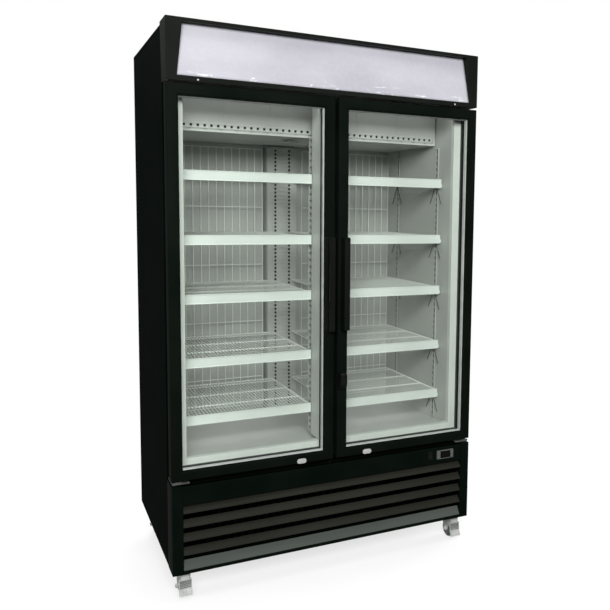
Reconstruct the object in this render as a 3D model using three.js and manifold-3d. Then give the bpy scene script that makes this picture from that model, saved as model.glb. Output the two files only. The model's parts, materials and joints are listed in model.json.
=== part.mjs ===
// Two-door glass merchandiser: an upright display refrigerator on casters.
// Millimetres, +Z up, +Y towards the back. The origin is on the floor, under the
// middle of the whole footprint (handles included).
import * as THREE from "three";
import { mergeVertices } from "three/addons/utils/BufferGeometryUtils.js";
import Module from "manifold-3d";

const wasm = await Module();
wasm.setup();

// ---------------------------------------------------------------- driving dimensions

const width = 1220; // across the front
const caseDepth = 760; // front plane of the doors to the back
const caseHeight = 1929; // underside of the case to the top of the canopy
const casterHeight = 105; // floor to the underside of the case
const handleReach = 40; // how far the handles stand in front of the doors
const gap = 0.3; // left between pieces that rest against each other

const grilleHeight = 324;
const hingeGap = 18; // between the grille and the doors
const doorHeight = 1372;
const headGap = 9; // between the doors and the canopy
const meetingGap = 14; // between the two doors
const canopyRise = 10; // canopy above the top of the cabinet behind it

const shellFront = 88; // the cabinet shell starts this far behind the front plane
const panelThickness = 40; // depth of the outer pans, which stand round the foam space
const linerThickness = 24.7; // foam space between the liner and the pans
const sheet = 0.8; // steel of the pans and the liner
const formedSheet = 2; // steel of the formed front pieces

// ---------------------------------------------------------------- derived places

const halfWidth = width / 2;
const frontY = (handleReach - caseDepth) / 2;
const backY = frontY + caseDepth;
const caseBottom = casterHeight;
const caseTop = caseBottom + caseHeight;
const cabinetTop = caseTop - canopyRise;
const grilleTop = caseBottom + grilleHeight;
const doorBottom = grilleTop + hingeGap;
const doorTop = doorBottom + doorHeight;
const canopyBottom = doorTop + headGap;
const linerHalfWidth = halfWidth - panelThickness - gap;
const innerHalfWidth = linerHalfWidth - linerThickness;

// Y of a plane that lies the given distance behind the doors' front plane.
const behind = (distance) => frontY + distance;

// Z of a level above the underside of the case.
const above = (height) => caseBottom + height;

const innerFloor = above(385);
const innerCeiling = above(1800);
const openingBottom = above(400);
const openingTop = above(1690);
const innerBackDepth = 690;
const linerBackDepth = innerBackDepth + linerThickness;

// ---------------------------------------------------------------- finishes

const blackSteel = { color: 0x161816, roughness: 0.45, metalness: 0.3 };
const blackPlastic = { color: 0x0f100f, roughness: 0.5, metalness: 0 };
const whiteSteel = { color: 0xaab2aa, roughness: 0.45, metalness: 0.1 };
const whiteWire = { color: 0xd3dad2, roughness: 0.35, metalness: 0 };
const zinc = { color: 0xb9bdb8, roughness: 0.3, metalness: 1 };
const chrome = { color: 0xd8dad8, roughness: 0.12, metalness: 1 };
const signFinish = { color: 0xcdcbd7, roughness: 0.3, metalness: 0 };
const glassFinish = {
  color: 0xdfe8e2,
  roughness: 0.05,
  metalness: 0,
  transparent: true,
  opacity: 0.3,
};
const rubber = { color: 0x1a1a19, roughness: 0.8, metalness: 0 };
const greyPlastic = { color: 0x8d918e, roughness: 0.5, metalness: 0 };
const coilMetal = { color: 0x9aa0a0, roughness: 0.4, metalness: 0.9 };
const blackEnamel = { color: 0x1d1d1d, roughness: 0.35, metalness: 0.2 };
const lampGlass = { color: 0xf2f2ee, roughness: 0.25, metalness: 0 };

// ---------------------------------------------------------------- geometry helpers

// A box between two opposite corners.
function block(cornerA, cornerB) {
  const size = cornerB.map((value, i) => Math.abs(value - cornerA[i]));
  const centre = cornerB.map((value, i) => (value + cornerA[i]) / 2);
  return new THREE.BoxGeometry(...size).translate(...centre);
}

// Outline points to a straight extrusion along the shape's own +Z.
function extrude(points, length) {
  const shape = new THREE.Shape(points.map(([u, v]) => new THREE.Vector2(u, v)));
  return new THREE.ExtrudeGeometry(shape, { depth: length, bevelEnabled: false });
}

// Outline in (y, z), swept from x0 to x1.
function alongX(points, x0, x1) {
  const turn = new THREE.Matrix4().set(0, 0, 1, x0, 1, 0, 0, 0, 0, 1, 0, 0, 0, 0, 0, 1);
  return extrude(points, x1 - x0).applyMatrix4(turn);
}

// Outline in (x, z), swept from y0 to y1.
function alongY(points, y0, y1) {
  const turn = new THREE.Matrix4().set(1, 0, 0, 0, 0, 0, -1, y1, 0, 1, 0, 0, 0, 0, 0, 1);
  return extrude(points, y1 - y0).applyMatrix4(turn);
}

// Outline in (x, y), swept from z0 to z1.
function alongZ(points, z0, z1) {
  return extrude(points, z1 - z0).translate(0, 0, z0);
}

// An oval with straight sides, centred on (u, v).
function oval(u, v, length, height, steps = 6) {
  const radius = height / 2;
  const points = [];
  for (const end of [1, -1]) {
    for (let i = 0; i <= steps; i++) {
      const angle = -Math.PI / 2 + (Math.PI * i) / steps;
      const reach = length / 2 - radius + radius * Math.cos(angle);
      points.push([u + end * reach, v + end * radius * Math.sin(angle)]);
    }
  }
  return points;
}

// A round bar that starts at a point and runs along an axis named "x", "y" or "z".
function rod(axis, start, radius, length, sides = 16) {
  const bar = new THREE.CylinderGeometry(radius, radius, length, sides);
  bar.translate(0, length / 2, 0);
  if (axis === "x") bar.rotateZ(-Math.PI / 2);
  if (axis === "z") bar.rotateX(Math.PI / 2);
  return bar.translate(...start);
}

// A solid of revolution about +Z from (radius, height) points that start and end on the axis.
function turned(profile, sides) {
  const points = profile.map(([r, h]) => new THREE.Vector2(r, h));
  return new THREE.LatheGeometry(points, sides).rotateX(Math.PI / 2);
}

function toSolid(geometry) {
  const bare = geometry.clone();
  bare.deleteAttribute("normal");
  bare.deleteAttribute("uv");
  const merged = mergeVertices(bare, 1e-3);
  const mesh = new wasm.Mesh({
    numProp: 3,
    vertProperties: merged.attributes.position.array,
    triVerts: new Uint32Array(merged.index.array),
  });
  return new wasm.Manifold(mesh);
}

function toGeometry(solid) {
  const { vertProperties, triVerts } = solid.getMesh();
  const geometry = new THREE.BufferGeometry();
  geometry.setAttribute("position", new THREE.BufferAttribute(vertProperties, 3));
  geometry.setIndex(new THREE.BufferAttribute(triVerts, 1));
  geometry.computeVertexNormals();
  return geometry;
}

const join = (first, ...rest) =>
  toGeometry(rest.reduce((solid, next) => solid.add(toSolid(next)), toSolid(first)));
const cut = (body, ...tools) =>
  toGeometry(tools.reduce((solid, tool) => solid.subtract(toSolid(tool)), toSolid(body)));
const common = (a, b) => toGeometry(toSolid(a).intersect(toSolid(b)));

// Numbers from 0 up to count - 1.
const range = (count) => Array.from({ length: count }, (_, i) => i);

// ---------------------------------------------------------------- scene graph

const merchandiser = new THREE.Group();

function addPiece(parent, name, geometry, finish) {
  const mesh = new THREE.Mesh(geometry, new THREE.MeshStandardMaterial(finish));
  mesh.name = name;
  parent.add(mesh);
  return mesh;
}

// A group at a place, for pieces that are described about their own reference point.
function addGroup(parent, x, y, z) {
  const group = new THREE.Group();
  group.position.set(x, y, z);
  parent.add(group);
  return group;
}

const sides = [
  { name: "left", sign: -1 },
  { name: "right", sign: 1 },
];

// ---------------------------------------------------------------- outer case

const canopyDepth = 110; // depth of the canopy's ends at their top
const machineBackDepth = 726; // recessed rear cover of the machine compartment
const coverThickness = 2;
const trayThickness = 2.5;
const trayRim = 25;
const trayHalfWidth = halfWidth - 2;
const baseFrontDepth = 92.5;
const baseBackDepth = machineBackDepth - gap;

const casterX = 563; // casters from the middle, and their swivel axes from front and back
const casterInset = 86;
const casterPlate = 70;
const casterPlateThickness = 3;
const kingpinRadius = 6;
const kingpinClearance = 0.8;
const casterPlaces = [
  { name: "front_left", x: -casterX, y: frontY + casterInset, braked: true },
  { name: "front_right", x: casterX, y: frontY + casterInset, braked: true },
  { name: "rear_left", x: -casterX, y: backY - casterInset, braked: false },
  { name: "rear_right", x: casterX, y: backY - casterInset, braked: false },
];

// Outline of a side panel, drawn in from its edges by a margin. The front edge follows the
// door line, then leans back behind the canopy's end.
function sidePanelOutline(margin) {
  const bottom = above(trayThickness) + gap;
  return [
    [behind(shellFront + margin), bottom + margin],
    [behind(shellFront + margin), canopyBottom],
    [behind(canopyDepth + gap + margin), cabinetTop - margin],
    [backY - margin, cabinetTop - margin],
    [backY - margin, bottom + margin],
  ];
}

// Steel pan: an outer skin with its edges turned in.
function sidePanel(sign) {
  const between = (margin, xa, xb) =>
    alongX(sidePanelOutline(margin), Math.min(xa, xb), Math.max(xa, xb));
  const pan = between(0, sign * halfWidth, sign * (halfWidth - panelThickness));
  const hollow = between(sheet, sign * (halfWidth - sheet), sign * (halfWidth - panelThickness - 1));
  return cut(pan, hollow);
}

// Steel pan with a thin louvred cover, set forward, behind the machine compartment.
function backPanel() {
  const slotCount = 8;
  const slotPitch = 26;
  const slotHeight = 9;
  const slotHalf = 230;
  const x = linerHalfWidth;
  const front = behind(linerBackDepth + gap);
  const pan = block([-x, front, doorBottom], [x, backY, cabinetTop]);
  const hollow = block(
    [-x + sheet, front - 1, doorBottom + sheet],
    [x - sheet, backY - sheet, cabinetTop - sheet],
  );
  const coverBack = machineBackDepth + coverThickness;
  const cover = block(
    [-x, behind(machineBackDepth), caseBottom],
    [x, behind(coverBack), doorBottom + sheet],
  );
  const slots = range(slotCount).map((i) => {
    const z = above(60) + i * slotPitch;
    return block(
      [-slotHalf, behind(machineBackDepth - 1), z],
      [slotHalf, behind(coverBack + 1), z + slotHeight],
    );
  });
  return cut(join(cut(pan, hollow), cover), ...slots);
}

// Steel pan, open towards the foam below it.
function topPanel() {
  const bottom = innerCeiling + linerThickness + gap;
  const x = linerHalfWidth;
  const pan = block([-x, behind(shellFront), bottom], [x, behind(linerBackDepth), cabinetTop]);
  const hollow = block(
    [-x + sheet, behind(shellFront + sheet), bottom - 1],
    [x - sheet, behind(linerBackDepth - sheet), cabinetTop - sheet],
  );
  return cut(pan, hollow);
}

// Steel tray that carries the side panels and the machine parts, with rims at the front and
// back and a plate under each corner for a caster.
function baseFrame() {
  const floor = block(
    [-trayHalfWidth, behind(baseFrontDepth), caseBottom],
    [trayHalfWidth, behind(baseBackDepth), above(trayThickness)],
  );
  const rims = [baseFrontDepth, baseBackDepth - trayThickness].map((depth) =>
    block(
      [-linerHalfWidth, behind(depth), caseBottom + 1],
      [linerHalfWidth, behind(depth + trayThickness), above(trayRim)],
    ),
  );
  const half = casterPlate / 2;
  const plates = casterPlaces.map(({ x, y }) =>
    block([x - half, y - half, caseBottom - casterPlateThickness], [x + half, y + half, caseBottom + 1]),
  );
  const bores = casterPlaces.map(({ x, y }) =>
    rod("z", [x, y, caseBottom - 10], kingpinRadius + kingpinClearance, 20),
  );
  return cut(join(floor, ...rims, ...plates), ...bores);
}

function addOuterCase() {
  for (const { name, sign } of sides) {
    addPiece(merchandiser, `${name}_side_panel`, sidePanel(sign), blackSteel);
  }
  addPiece(merchandiser, "back_panel", backPanel(), blackSteel);
  addPiece(merchandiser, "top_panel", topPanel(), blackSteel);
  addPiece(merchandiser, "base_frame", baseFrame(), zinc);
}

// ---------------------------------------------------------------- cabinet interior

const mullionHalf = 40;
const mullionDepth = 160;
const frameFront = 68; // face that the door gaskets close on
const frameHalfWidth = 604;
const frameBelowDoors = 7.5; // the frame reaches this far below the doors
const coverBottom = above(1580); // underside of the evaporator cover
const frontStandardDepth = 200;
const rearStandardDepth = 570;
const pilasterHalf = 78;
const pilasterDepth = 655;
const pilasterColumn = 32; // slot columns from the middle of the pilaster
const slotSize = { width: 6, height: 16, pitch: 110, count: 10, depth: 6 };

// Cutters for slots one above the other, centred on (x, y), starting at a height. A slot is
// as wide as slotSize.width in one direction and passes right through in the other.
function slotColumn(x, y, bottom, acrossX) {
  const halfX = acrossX ? slotSize.width / 2 : slotSize.depth;
  const halfY = acrossX ? slotSize.depth : slotSize.width / 2;
  return range(slotSize.count).map((i) => {
    const z = bottom + i * slotSize.pitch;
    return block([x - halfX, y - halfY, z], [x + halfX, y + halfY, z + slotSize.height]);
  });
}

// White sheet box that lines the cabinet, open at the front, with a flange round its mouth
// and short returns at the sill and the header.
function innerLiner() {
  const x = linerHalfWidth;
  const innerX = innerHalfWidth;
  const front = behind(shellFront);
  const back = behind(innerBackDepth);
  const headerReturn = 24;
  const sillReturn = 12;
  const flange = block(
    [-x, front, doorBottom],
    [x, front + sheet, innerCeiling + linerThickness],
  );
  const skin = block(
    [-innerX - sheet, front, innerFloor - sheet],
    [innerX + sheet, back + sheet, innerCeiling + sheet],
  );
  const room = block([-innerX, front + sheet, innerFloor], [innerX, back, innerCeiling]);
  const mouth = block([-innerX, front - 1, openingBottom], [innerX, front + sheet + 1, openingTop]);
  const header = block(
    [-innerX - 1, front, openingTop],
    [innerX + 1, front + headerReturn, openingTop + sheet],
  );
  const sill = block(
    [-innerX - 1, front, openingBottom - sheet],
    [innerX + 1, front + sillReturn, openingBottom],
  );
  return join(cut(join(flange, skin), room, mouth), header, sill);
}

// Formed ring and centre post that the doors close on, open at the back.
function frontFrame() {
  const bottom = doorBottom - frameBelowDoors;
  const top = canopyBottom - gap;
  const ringBack = behind(shellFront - gap);
  const wall = formedSheet;
  const ring = block([-frameHalfWidth, behind(frameFront), bottom], [frameHalfWidth, ringBack, top]);
  const openings = sides.map(({ sign }) =>
    block(
      [sign * mullionHalf, behind(frameFront - 1), openingBottom],
      [sign * innerHalfWidth, ringBack + 1, openingTop],
    ),
  );
  const mullion = block(
    [-mullionHalf, behind(frameFront), openingBottom + gap],
    [mullionHalf, behind(mullionDepth), openingTop - gap],
  );
  const hollowFront = behind(frameFront + wall);
  const uprights = sides.map(({ sign }) =>
    block(
      [sign * (innerHalfWidth + wall), hollowFront, bottom + wall],
      [sign * (frameHalfWidth - wall), ringBack + 1, top - wall],
    ),
  );
  const rails = [
    [bottom + wall, openingBottom - wall],
    [openingTop + wall, top - wall],
  ].map(([z0, z1]) =>
    block([-frameHalfWidth + wall, hollowFront, z0], [frameHalfWidth - wall, ringBack + 1, z1]),
  );
  const post = block(
    [-mullionHalf + wall, hollowFront, openingBottom + gap + wall],
    [mullionHalf - wall, behind(mullionDepth + 1), openingTop - gap - wall],
  );
  return cut(join(cut(ring, ...openings), mullion), ...uprights, ...rails, post);
}

// Slotted strip on a side wall that shelf clips hook into.
function wallStandard(sign, depth) {
  const halfStrip = 12;
  const thickness = 3.4;
  const bottom = innerFloor + 10;
  const wall = sign * (innerHalfWidth - gap);
  const strip = block(
    [wall, behind(depth - halfStrip), bottom],
    [wall - sign * thickness, behind(depth + halfStrip), coverBottom - 10],
  );
  return cut(strip, ...slotColumn(wall, behind(depth), bottom + 20, false));
}

// Channel on the back wall with two slot columns, one for each bay.
function rearPilaster() {
  const skin = 3;
  const bottom = innerFloor + gap;
  const top = coverBottom - 5;
  const slots = sides.flatMap(({ sign }) =>
    slotColumn(sign * pilasterColumn, behind(pilasterDepth), bottom + 30, true),
  );
  const face = block(
    [-pilasterHalf, behind(pilasterDepth), bottom],
    [pilasterHalf, behind(pilasterDepth + skin), top],
  );
  const returns = sides.map(({ sign }) =>
    block(
      [sign * pilasterHalf, behind(pilasterDepth + 1), bottom],
      [sign * (pilasterHalf - skin), behind(innerBackDepth - gap), top],
    ),
  );
  return join(cut(face, ...slots), ...returns);
}

const shelfTops = [1435, 1200, 982, 745, 530].map(above);
const railHeight = 37;
const railDepth = 150; // front of the price rail
const railThickness = 4;
const deckDrop = 4; // deck below the top of the rail
const deckThickness = 8;
const deckBack = 640;
const shelfOuter = 538;
const shelfInner = 48;

// Wire shelf of one bay with its price rail and the four clips it hangs on.
function shelf(sign, top) {
  const barCount = 8;
  const barWidth = 8;
  const deckFront = railDepth + railThickness - 1;
  const deckTop = top - deckDrop;
  const pitch = (shelfOuter - shelfInner - barWidth) / barCount;
  const windows = range(barCount).map((i) => {
    const x = shelfInner + barWidth + i * pitch;
    return block(
      [sign * x, behind(deckFront + barWidth * 2), deckTop - deckThickness - 1],
      [sign * (x + pitch - barWidth), behind(deckBack - barWidth * 2), deckTop + 1],
    );
  });
  const deck = block(
    [sign * shelfInner, behind(deckFront), deckTop - deckThickness],
    [sign * shelfOuter, behind(deckBack), deckTop],
  );
  const rail = block(
    [sign * (shelfInner + 4), behind(railDepth), top - railHeight],
    [sign * (shelfOuter - 4), behind(railDepth + railThickness), top],
  );
  const clipSpan = 8;
  const wallClips = [frontStandardDepth, rearStandardDepth].map((depth) =>
    block(
      [sign * (shelfOuter - 1), behind(depth - clipSpan), deckTop - 2 * deckThickness],
      [sign * (innerHalfWidth - 4), behind(depth + clipSpan), deckTop],
    ),
  );
  const mullionClip = block(
    [sign * (mullionHalf + gap), behind(railDepth + railThickness - 1), deckTop - 2 * deckThickness],
    [sign * (shelfInner + 1), behind(mullionDepth), deckTop],
  );
  const pilasterClip = block(
    [sign * (shelfInner + 4), behind(deckBack - 1), deckTop - 2 * deckThickness],
    [sign * (shelfInner + 12), behind(pilasterDepth - gap), deckTop],
  );
  return join(cut(deck, ...windows), rail, ...wallClips, mullionClip, pilasterClip);
}

function addInterior() {
  addPiece(merchandiser, "inner_liner", innerLiner(), whiteSteel);
  addPiece(merchandiser, "front_frame", frontFrame(), whiteSteel);
  addPiece(merchandiser, "rear_pilaster", rearPilaster(), whiteSteel);
  for (const { name, sign } of sides) {
    const front = wallStandard(sign, frontStandardDepth);
    const rear = wallStandard(sign, rearStandardDepth);
    addPiece(merchandiser, `${name}_front_shelf_standard`, front, whiteSteel);
    addPiece(merchandiser, `${name}_rear_shelf_standard`, rear, whiteSteel);
    shelfTops.forEach((top, i) => {
      addPiece(merchandiser, `${name}_shelf_${i + 1}`, shelf(sign, top), whiteWire);
    });
  }
}

// ---------------------------------------------------------------- fans

// A rotor about +Z: a hub bored for its shaft, with pitched blades.
function fanRotor({ hubRadius, tipRadius, height, bore, bladeCount }) {
  const hub = rod("z", [0, 0, 0], hubRadius, height);
  const pitchAngle = 0.55;
  const bladeThickness = 2;
  const bladeLength = tipRadius - hubRadius + 2;
  const chord = height * 1.3;
  const blades = range(bladeCount).map((i) =>
    new THREE.BoxGeometry(bladeLength, chord, bladeThickness)
      .rotateX(pitchAngle)
      .translate(hubRadius - 2 + bladeLength / 2, 0, height / 2)
      .rotateZ((i * 2 * Math.PI) / bladeCount),
  );
  return cut(join(hub, ...blades), rod("z", [0, 0, -1], bore, height + 2, 12));
}

// Fixed motor on a bar across a fan opening, about +Z, with the shaft its rotor runs on.
function fanMotor({ openingRadius, canHeight, rotorHeight }) {
  const bar = block([-openingRadius - 4, -12, 0], [openingRadius + 4, 12, 4]);
  const can = rod("z", [0, 0, 1], 27, canHeight);
  const shaft = rod("z", [0, 0, canHeight], 4, rotorHeight + 6, 12);
  return join(bar, can, shaft);
}

const rotorSize = { hubRadius: 20, height: 20, bore: 4.6, bladeCount: 5 };
const rotorClearance = 4; // between the motor's can and the rotor

// ---------------------------------------------------------------- cooling unit inside

const evaporatorFan = { x: 0, depth: 350, openingRadius: 100, canHeight: 26 };
const coilFootHeight = 4; // foot of the coil above the underside of the cover

// Sheet cover hung under the ceiling: vented front, ends, and a floor with the fan opening.
function evaporatorCover() {
  const x = 540;
  const frontDepth = 220;
  const backDepth = 684;
  const top = innerCeiling - gap;
  const ventCount = 18;
  const ventPitch = 58;
  const front = block([-x, behind(frontDepth), coverBottom], [x, behind(frontDepth + sheet), top]);
  const floor = block([-x, behind(frontDepth), coverBottom], [x, behind(backDepth), coverBottom + sheet]);
  const ends = sides.map(({ sign }) =>
    block([sign * x, behind(frontDepth), coverBottom], [sign * (x - sheet), behind(backDepth), top]),
  );
  const fanOpening = rod(
    "z",
    [evaporatorFan.x, behind(evaporatorFan.depth), coverBottom - 1],
    evaporatorFan.openingRadius,
    sheet + 2,
    24,
  );
  const vents = range(ventCount).map((i) => {
    const ventX = (i - (ventCount - 1) / 2) * ventPitch;
    return block(
      [ventX - 6, behind(frontDepth - 1), coverBottom + 8],
      [ventX + 6, behind(frontDepth + sheet + 1), coverBottom + 18],
    );
  });
  const motor = fanMotor({ ...evaporatorFan, rotorHeight: rotorSize.height });
  motor.translate(evaporatorFan.x, behind(evaporatorFan.depth), coverBottom);
  return join(cut(join(front, floor, ...ends), fanOpening, ...vents), motor);
}

// Fin pack seen from the front as a comb, with the outer plates full height.
function finComb(x0, x1, z0, z1, finCount) {
  const pitch = (x1 - x0) / finCount;
  const fin = pitch * 0.4;
  const root = z0 + 12;
  const points = [[x0, z0]];
  points.push([x1 + fin, z0]);
  for (let i = finCount; i >= 0; i--) {
    const left = x0 + i * pitch;
    if (i < finCount) points.push([left + fin, root]);
    points.push([left + fin, z1], [left, z1]);
    if (i > 0) points.push([left, root]);
  }
  return points;
}

function evaporatorCoil() {
  const top = innerCeiling - 15;
  const bottom = coverBottom + 40;
  const half = 345;
  const comb = alongY(finComb(-half, half, bottom, top, 16), behind(480), behind(640));
  const hanger = block([-half, behind(500), top - 4], [half, behind(620), innerCeiling - gap]);
  const foot = block(
    [-half, behind(500), coverBottom + coilFootHeight + gap],
    [half, behind(520), bottom + 1],
  );
  return join(comb, hanger, foot);
}

const condenserFan = { x: -180, openingRadius: 115, canHeight: 26 };
const condenserCentre = above(165);
const shroudDepth = 192;

// Condenser fin pack with its fan shroud and motor bracket behind it.
function condenserCoil() {
  const bottom = above(trayThickness) + gap;
  const top = above(305);
  const comb = alongY(finComb(-420, 60, bottom, top, 16), behind(130), behind(shroudDepth));
  const shroud = block([-420, behind(shroudDepth - 1), bottom], [68, behind(shroudDepth + 5), top]);
  const opening = rod(
    "y",
    [condenserFan.x, behind(shroudDepth - 0.5), condenserCentre],
    condenserFan.openingRadius,
    7,
    24,
  );
  const motor = fanMotor({ ...condenserFan, rotorHeight: rotorSize.height });
  motor.rotateX(-Math.PI / 2);
  motor.translate(condenserFan.x, behind(shroudDepth), condenserCentre);
  return join(cut(join(comb, shroud), opening), motor);
}

// Hollow domed can on a foot plate with two pipe stubs, one of them open into the can.
function compressor() {
  const radius = 92;
  const height = 185;
  const dome = 35;
  const steps = 3;
  const profile = [[0, 0]];
  for (let i = 0; i <= steps; i++) {
    const angle = (Math.PI / 2) * (i / steps);
    profile.push([radius - dome + dome * Math.sin(angle), dome - dome * Math.cos(angle)]);
  }
  for (let i = 0; i < steps; i++) {
    const angle = (Math.PI / 2) * (i / steps);
    profile.push([radius - dome + dome * Math.cos(angle), height - dome + dome * Math.sin(angle)]);
  }
  profile.push([radius - dome, height], [0, height]);
  const can = turned(profile, 16).translate(0, 0, 10);
  const foot = block([-100, -80, 0], [100, 80, 12]);
  const stubs = [-30, 30].map((y) => rod("x", [-radius - 45, y, 120], 5, 60, 10));
  const chamber = rod("z", [0, 0, 24], radius - 16, height - 42);
  const pipeBore = rod("x", [-radius - 46, 30, 120], 3, 80, 8);
  return cut(join(can, foot, ...stubs), chamber, pipeBore);
}

// Supply cord that leaves the rear cover and hangs in the recess, ending in a plug.
function powerCord() {
  const y = behind(machineBackDepth + coverThickness + 14);
  const exit = behind(machineBackDepth + coverThickness + 1);
  const path = new THREE.CatmullRomCurve3([
    new THREE.Vector3(400, exit, above(250)),
    new THREE.Vector3(400, exit + 7, above(250)),
    new THREE.Vector3(400, y, above(238)),
    new THREE.Vector3(396, y, above(150)),
    new THREE.Vector3(350, y, above(50)),
    new THREE.Vector3(300, y, above(120)),
    new THREE.Vector3(340, y, above(200)),
    new THREE.Vector3(372, y - 1, above(120)),
    new THREE.Vector3(330, y - 1, above(24)),
  ]);
  const circle = new THREE.Shape().absarc(0, 0, 4, 0, 2 * Math.PI);
  const cord = new THREE.ExtrudeGeometry(circle, {
    extrudePath: path,
    steps: 40,
    curveSegments: 4,
    bevelEnabled: false,
  });
  const plug = block([318, y - 10, above(2)], [342, y + 10, above(30)]);
  return { cord, plug };
}

function addCoolingUnit() {
  addPiece(merchandiser, "evaporator_cover", evaporatorCover(), whiteSteel);
  addPiece(merchandiser, "evaporator_coil", evaporatorCoil(), coilMetal);
  const evaporatorRotor = addPiece(
    merchandiser,
    "evaporator_fan",
    fanRotor({ ...rotorSize, tipRadius: evaporatorFan.openingRadius - 6 }),
    blackPlastic,
  );
  evaporatorRotor.position.set(
    evaporatorFan.x,
    behind(evaporatorFan.depth),
    coverBottom + evaporatorFan.canHeight + rotorClearance,
  );
  addPiece(merchandiser, "condenser_coil", condenserCoil(), coilMetal);
  const condenserRotor = addPiece(
    merchandiser,
    "condenser_fan",
    fanRotor({ ...rotorSize, tipRadius: condenserFan.openingRadius - 6 }),
    blackPlastic,
  );
  condenserRotor.position.set(
    condenserFan.x,
    behind(shroudDepth + condenserFan.canHeight + rotorClearance),
    condenserCentre,
  );
  condenserRotor.rotation.x = -Math.PI / 2;
  const pump = addPiece(merchandiser, "compressor", compressor(), blackEnamel);
  pump.position.set(340, behind(480), above(trayThickness) + gap);
  const { cord, plug } = powerCord();
  addPiece(merchandiser, "power_cord", join(cord, plug), rubber);
}

// ---------------------------------------------------------------- canopy

const signBottom = above(1740);
const signTop = above(1917);
const signHalfTop = 556;
const signHalfBottom = 575;
const hingeInset = 14; // hinge axis from the door's outer edge
const hingeDepth = 24; // hinge axis behind the front plane
const hingeRadius = 5;
const hingeClearance = 1;

// Front opening of the light box, narrower at the top, shrunk by a margin.
const signOutline = (margin) => [
  [-signHalfBottom + margin, signBottom + margin],
  [signHalfBottom - margin, signBottom + margin],
  [signHalfTop - margin, signTop - margin],
  [-signHalfTop + margin, signTop - margin],
];

// Light box across the head of the cabinet, with deeper ends that wrap the side panels. It is
// a formed shell, open at the back.
function canopyHousing() {
  const boxBack = shellFront - gap;
  const cavityDepth = 74;
  const box = block([-halfWidth, behind(0), canopyBottom], [halfWidth, behind(boxBack), caseTop]);
  const endOutline = [
    [behind(boxBack - 1), canopyBottom],
    [behind(boxBack), canopyBottom],
    [behind(canopyDepth), cabinetTop],
    [behind(canopyDepth), caseTop],
    [behind(boxBack - 1), caseTop],
  ];
  const endInner = halfWidth - panelThickness;
  const leftEnd = alongX(endOutline, -halfWidth, -endInner);
  const rightEnd = alongX(endOutline, endInner, halfWidth);
  const cavity = alongY(signOutline(0), behind(-1), behind(cavityDepth));
  const pinHoles = sides.map(({ sign }) =>
    rod(
      "z",
      [sign * (halfWidth - hingeInset), behind(hingeDepth), canopyBottom - 1],
      hingeRadius + hingeClearance,
      13,
    ),
  );
  const wall = formedSheet;
  const lips = [
    [canopyBottom + wall, signBottom - wall],
    [signTop + wall, caseTop - wall],
  ].map(([z0, z1]) =>
    block([-endInner, behind(wall), z0], [endInner, behind(boxBack + 1), z1]),
  );
  const backPocket = block(
    [-endInner, behind(cavityDepth + wall), canopyBottom + wall],
    [endInner, behind(boxBack + 1), caseTop - wall],
  );
  const endPockets = sides.map(({ sign }) =>
    block(
      [sign * (signHalfBottom + wall), behind(wall), canopyBottom + wall],
      [sign * (halfWidth - wall), behind(canopyDepth + 1), caseTop - wall],
    ),
  );
  const shell = cut(join(box, leftEnd, rightEnd), cavity, ...lips, backPocket, ...endPockets);
  return cut(shell, ...pinHoles);
}

// Translucent panel that leans back towards its top inside the opening.
function signPanel() {
  const thickness = 4;
  const bottomDepth = 6;
  const topDepth = 28;
  const leaning = alongX(
    [
      [behind(bottomDepth), signBottom],
      [behind(bottomDepth + thickness), signBottom],
      [behind(topDepth + thickness), signTop],
      [behind(topDepth), signTop],
    ],
    -signHalfBottom,
    signHalfBottom,
  );
  return common(alongY(signOutline(gap), behind(0), behind(60)), leaning);
}

// Tube lamp between two holders on the light box's back wall.
function canopyLamp() {
  const z = (signBottom + signTop) / 2;
  const half = 500;
  const tube = rod("x", [-half, behind(54), z], 12, 2 * half);
  const holders = sides.map(({ sign }) =>
    block([sign * half, behind(40), z - 16], [sign * (half + 18), behind(74 - gap), z + 16]),
  );
  return join(tube, ...holders);
}

function addCanopy() {
  addPiece(merchandiser, "canopy_housing", canopyHousing(), blackSteel);
  addPiece(merchandiser, "sign_panel", signPanel(), signFinish);
  addPiece(merchandiser, "canopy_lamp", canopyLamp(), lampGlass);
}

// ---------------------------------------------------------------- grille and controls

const grilleThickness = 22;
const louvreHalfWidth = 571;
const louvreTops = [246, 195, 144, 93].map(above);
const louvreDrop = 23; // nose of a blade below its top edge
const lastLouvreTop = above(46);
const lastLouvreDrop = 31;
const controller = { x0: 455, x1: 532, z0: above(271), z1: above(307), proud: 5, back: 45 };
const controllerInset = 3; // body inside the outline of its bezel
const lightSwitch = { x0: 415, x1: 436, centre: above(291), half: 19.5 };

// Sloping blade whose top edge is at the back of the panel and whose nose is at the front.
function louvre(top, drop) {
  const thickness = 4;
  const backDepth = grilleThickness - 1;
  const outline = [
    [behind(0), top - drop],
    [behind(0), top - drop - thickness],
    [behind(backDepth), top - thickness],
    [behind(backDepth), top],
  ];
  return alongX(outline, -louvreHalfWidth - 1, louvreHalfWidth + 1);
}

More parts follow.
